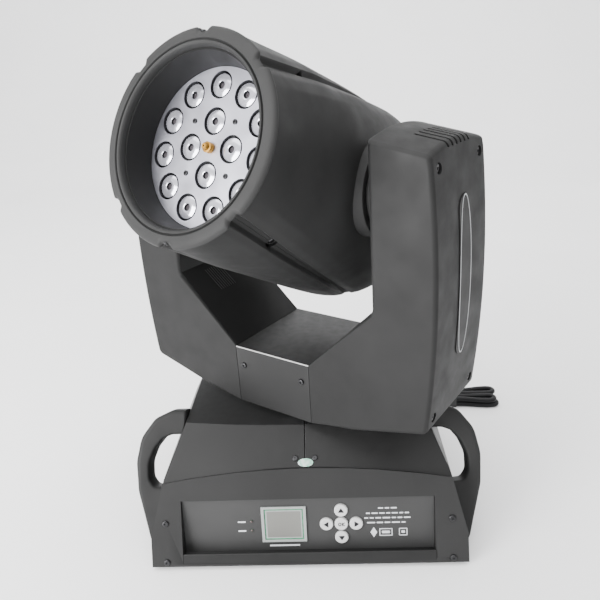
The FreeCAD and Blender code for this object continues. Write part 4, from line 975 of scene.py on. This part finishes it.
def key_marks():
    """Arrow on each outer key and OK on the middle one."""
    for key, (dx, dz) in KEY_ARROWS.items():
        across, up = Vector((dz, -dx)), Vector((dx, dz))
        middle = Vector(KEY_MIDDLE) + up * KEY_PITCH
        foot = middle - up * 2
        outline = rounded_outline([foot - across * 3.4, foot + across * 3.4, middle + up * 3.3], 0.4, 3)
        printed("arrow_" + key, [(outline, KEY_TOP)], "key_" + key, DARK_PRINT_AND_SHADE, "badge")
    x, z = KEY_MIDDLE
    shapes = [(bar(x + 0.6, z - 2, 0.8, 4), KEY_TOP)]
    for lean in (1, -1):
        foot, tip = Vector((x + 1.2, z)), Vector((x + 3.6, z + 2 * lean))
        beside = (tip - foot).normalized().orthogonal() * 0.4
        shapes.append(([foot - beside, tip - beside, tip + beside, foot + beside], KEY_TOP))
    printed("letter_k", shapes, "key_ok", DARK_PRINT_AND_SHADE, "badge")
    rings = []
    for wide, tall, level in ((1.7, 2.1, 0), (1.7, 2.1, 0.2), (0.9, 1.3, 0.2), (0.9, 1.3, 0)):
        rings.append([mm(x - 1.7 + wide * math.cos(turn), -KEY_TOP - level, z + tall * math.sin(turn))
                      for turn in circle_turns(24)])
    shown("letter_o", loft(rings + rings[:1]), "key_ok", "badge", PLATE, DARK_PRINT_AND_SHADE, sharp=60)


def plate_print():
    """Plain bars where a plate has print: by the status lamps, under the display and a block at the right,
    then a diamond and two boxes under the block."""
    outlines = [bar(-76, -28, 8.5, 1.7), bar(-76, -38.8, 8.5, 1.7), bar(-42.5, -57.2, 33, 1.8)]
    middle = 86
    for wide, low in ((20, -14.5), (46, -20.5), (50, -26.1), (44, -31.7)):
        left = middle - wide / 2
        while left < middle + wide / 2 - 3:
            piece = min(random.uniform(4, 9), middle + wide / 2 - left)
            outlines.append(bar(left, low, piece, 1.5))
            left += piece + 1.6
    outlines.append([(71, -48.5), (74.6, -42.5), (71, -36.5), (67.4, -42.5)])
    for left, wide in ((77, 14), (98, 9)):
        outlines += [bar(left, -47, wide, 0.9), bar(left, -39, wide, 0.9), bar(left, -47, 0.9, 8.9),
                     bar(left + wide - 0.9, -47, 0.9, 8.9), bar(left + 2.6, -44, wide - 5.2, 3)]
    printed("plate_print", [(outline, PRINT_FOOT) for outline in outlines])


def screen():
    """Display film, its pale rim and its dark edge inside the surround's window, and two status lamps."""
    layers = [("display_edge", 0.9, 1.1, 0, DARK_PRINT_AND_SHADE), ("display_rim", 0.9, 1.3, 1.5, None),
              ("display_film", 1, 1.45, 3, SCREEN)]
    for name, low, high, margin, finish in layers:
        window = rectangle(-47 + margin, -48.6 + margin, -4.4 - margin, -11.9 - margin)
        outline = rounded_outline(window, 0.6, 3)
        mesh = plate_mesh(outline, low, high, 0.1, lambda x, z, y: mm(x, -y, z), 2)
        shown(name, mesh, "base", "frame_white", PLATE, finish)
    lamps = []
    for down in (26.5, 37.3):
        rings = []
        for rise in quarter_turns(6):
            radius = max(0.02, 1.55 * math.cos(rise))
            rings.append([mm(-61 + radius * math.cos(turn), -0.8 - 1.1 * math.sin(rise),
                             -down + radius * math.sin(turn)) for turn in circle_turns(24)])
        lamps.append(loft(rings, caps=True))
    shown("status_lamps", join_meshes(lamps), "base", "clear_lens", PLATE, LAMP)


# -------------------- power cord
CORD_WIDE = 7.5
LEAD = [(40, 153.1, 33.4), (40, 170, 39.5), (45, 187.3, 40.5), (54.5, 202.3, 36.3), (66.2, 212.7, 27),
        (77.4, 218, 13.7), (92.7, 220.6, 4.2), (110, 218.5, -0.7), (126.8, 211.5, -0.7), (141, 204, -0.7)]
HANK_MIDDLE = (210, 190)
LAYERS = (-0.7, 6.8)
# Each run of the hank: its place under the tie, at the left end and at the right end, and its layer.
RUNS = [(11.4, 14.6, 17.8, 0), (3.8, 7, 3.8, 0), (-3.8, -7, -3.8, 0), (-11.4, -14.6, -17.8, 0),
        (3.8, 6, 3.8, 1), (11.4, 14.6, 17.8, 1), (-3.8, -2, -3.8, 1), (-11.4, -14, -17.8, 1)]
# How far from the tie each run ends, and how far from it the first one starts.
FOLD_REACH = [58, 48, 61, 54, 60, 50, 57, 46]
FIRST_REACH = 56
CROSSING_RUN = 5


def hank_points():
    """Eight runs of the folded cord, gathered at the tie and fanned out towards both ends."""
    points = []
    middle_x, middle_y = HANK_MIDDLE
    for index, (tied, left, right, layer) in enumerate(RUNS):
        way = 1 if index % 2 == 0 else -1
        start = FOLD_REACH[index - 1] if index else FIRST_REACH
        end = FOLD_REACH[index]
        stops = [-start, 4 - start, end - 4, end]
        stops += [-start + (start + end) * step / 8 for step in range(1, 8)]
        for stop in sorted(stops):
            along = way * stop
            fan = ease((abs(along) - 8) / 46)
            across = tied + ((left if along < 0 else right) - tied) * fan
            wave = 0.6 * math.sin(along / 19 + index * 1.7) * (1 - fan)
            hump = 0.4 * abs(math.sin(along / 31 + index)) * (1 - fan)
            points.append((middle_x + along, middle_y + across + wave, LAYERS[layer] + hump))
        if index == len(RUNS) - 1:
            break
        here = left if way < 0 else right
        after = RUNS[index + 1][1 if way < 0 else 2]
        over = CORD_WIDE if index == CROSSING_RUN else 0
        for step in range(1, 6):
            turn = math.pi * step / 6
            bulge = math.sin(turn) * abs(after - here) / 2 * 1.1
            side = here + (after - here) * (1 - math.cos(turn)) / 2
            rise = LAYERS[layer] + (LAYERS[RUNS[index + 1][3]] - LAYERS[layer]) * step / 6
            rise += over * math.sin(turn) ** 2
            points.append((middle_x + way * (end + bulge), middle_y + side, rise))
    return points


def power_cord():
    """Whole cord as one smooth line from the gland through the hank to its plug, and where it starts."""
    plug_low, plug_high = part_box("power_plug")
    points = LEAD + hank_points()
    points += [(151, 178, 8.5), (141, plug_high.y * 500 + plug_low.y * 500, 6.5)]
    curve = bpy.data.curves.new("mains_cord", "CURVE")
    curve.dimensions = "3D"
    line = curve.splines.new("NURBS")
    line.points.add(len(points) - 1)
    for spot, point in zip(line.points, points):
        spot.co = (*mm(*point), 1)
    line.order_u = 3
    line.use_endpoint_u = True
    line.resolution_u = 6
    curve.bevel_depth = mm(CORD_WIDE / 2)
    curve.bevel_resolution = 5
    curve.materials.append(CORD_SHEATH)
    piece = added("mains_cord", curve)
    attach(piece, "base")
    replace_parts(piece, "cord_lead", "cord_hank")
    return piece, mm(*LEAD[0])


def cord_tie():
    """Strap round the hank's middle, pulled snug, with its free end laid over."""
    middle_x, middle_y = HANK_MIDDLE
    outline = rounded_outline(rectangle(-16.4, -4.5, 16.4, 12), 4.5, 6)
    outer = inset(outline, -1.3)
    rings = []
    for level, shape in ((-7.5, outline), (-7.5, outer), (7.5, outer), (7.5, outline)):
        rings.append([mm(middle_x + level, middle_y + point[0], max(-4.5, point[1])) for point in shape])
    band = loft(rings + rings[:1])
    tail = [(-12, 13.2), (14, 13.2), (20, 10), (20.6, 11), (14.4, 14.3), (-12, 14.3)]
    flap = loft([[mm(middle_x + level, middle_y + across, up) for across, up in tail] for level in (-7, 7)],
                caps=True)
    piece = shown("cord_strap", join_meshes([band, flap]), "base", "rubber", sharp=40)
    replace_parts(piece, "cord_tie")
    return piece


def cord():
    piece, start = power_cord()
    strap = cord_tie()


# -------------------- stage, lights and camera
CAMERA_SPOT = Vector((0.03582, -0.65032, 0.51441))
CAMERA_YAW = -0.05541
CAMERA_PITCH = -0.38392
CAMERA_ROLL = -0.06001
CAMERA_LENS = 37.47


def camera():
    """The photo's view: yaw turns from the front towards the right, pitch upwards, roll about the view."""
    flat = math.cos(CAMERA_PITCH)
    forward = Vector((math.sin(CAMERA_YAW) * flat, math.cos(CAMERA_YAW) * flat, math.sin(CAMERA_PITCH)))
    level = forward.cross(Vector((0, 0, 1))).normalized()
    upward = level.cross(forward)
    right = level * math.cos(CAMERA_ROLL) + upward * math.sin(CAMERA_ROLL)
    top = upward * math.cos(CAMERA_ROLL) - level * math.sin(CAMERA_ROLL)
    data = bpy.data.cameras.new("view")
    data.sensor_width = 36
    data.lens = CAMERA_LENS
    data.clip_start = 0.02
    eye = added("view", data)
    eye.matrix_world = Matrix.Translation(CAMERA_SPOT) @ Matrix((right, top, -forward)).transposed().to_4x4()
    bpy.context.scene.camera = eye


def lamp(name, spot, target, size, power):
    data = bpy.data.lights.new(name, "AREA")
    data.shape = "RECTANGLE"
    data.size, data.size_y = size
    data.energy = power
    light = added(name, data)
    light.location = spot
    light.rotation_euler = (Vector(target) - Vector(spot)).to_track_quat("-Z", "Y").to_euler()


def surround():
    """White room, brighter overhead than at the horizon."""
    world = bpy.data.worlds.new("surround")
    world.use_nodes = True
    nodes, links = world.node_tree.nodes, world.node_tree.links
    heights = nodes.new("ShaderNodeSeparateXYZ")
    spread = nodes.new("ShaderNodeMapRange")
    spread.inputs["To Min"].default_value = 0.62
    spread.inputs["To Max"].default_value = 1.9
    links.new(nodes.new("ShaderNodeTexCoord").outputs["Generated"], heights.inputs["Vector"])
    links.new(heights.outputs["Z"], spread.inputs["Value"])
    links.new(spread.outputs["Result"], nodes["Background"].inputs["Strength"])
    nodes["Background"].inputs["Color"].default_value = (1, 1, 1, 1)
    return world


def stage():
    """Pale paper sweep, a white surround, soft boxes above and at the left, and a light on the sweep."""
    ground = CAD_BOX[0].z
    reach, sweep = 3.0, 1.2
    profile = [(-reach, ground)]
    for turn in quarter_turns(16):
        profile.append((reach - sweep + sweep * math.sin(turn), ground + sweep * (1 - math.cos(turn))))
    profile.append((reach, ground + 3.5))
    rings = [[Vector((side, y, z)) for y, z in profile] for side in (-4, 4)]
    mesh = loft(rings, closed=False)
    for face in mesh.polygons:
        face.use_smooth = True
    mesh.materials.append(floor_finish())
    added("paper_sweep", mesh)
    bpy.context.scene.world = surround()
    middle = (0, 0, 0.25)
    lamp("soft_top", (-0.4, -0.3, 2.2), middle, (2.2, 2.2), 50)
    lamp("soft_left", (-1.2, -1.1, 0.6), middle, (0.9, 1.2), 66)
    lamp("sweep_light", (0, 0.9, 2.3), (0, 3, 0.9), (4, 1), 60)


finish_cad_nodes()
camera()
cord()
housing()
bezel_ring()
lens_details()
arm_shell("arm_shell_left", -1)
arm_shell("arm_shell_right", 1)
badges()
inner_slits()
softened_parts()
carrying_handle("handle_left", -1)
carrying_handle("handle_right", 1)
panel_lip()
full_plate()
sticker()
key_marks()
plate_print()
screen()
stage()
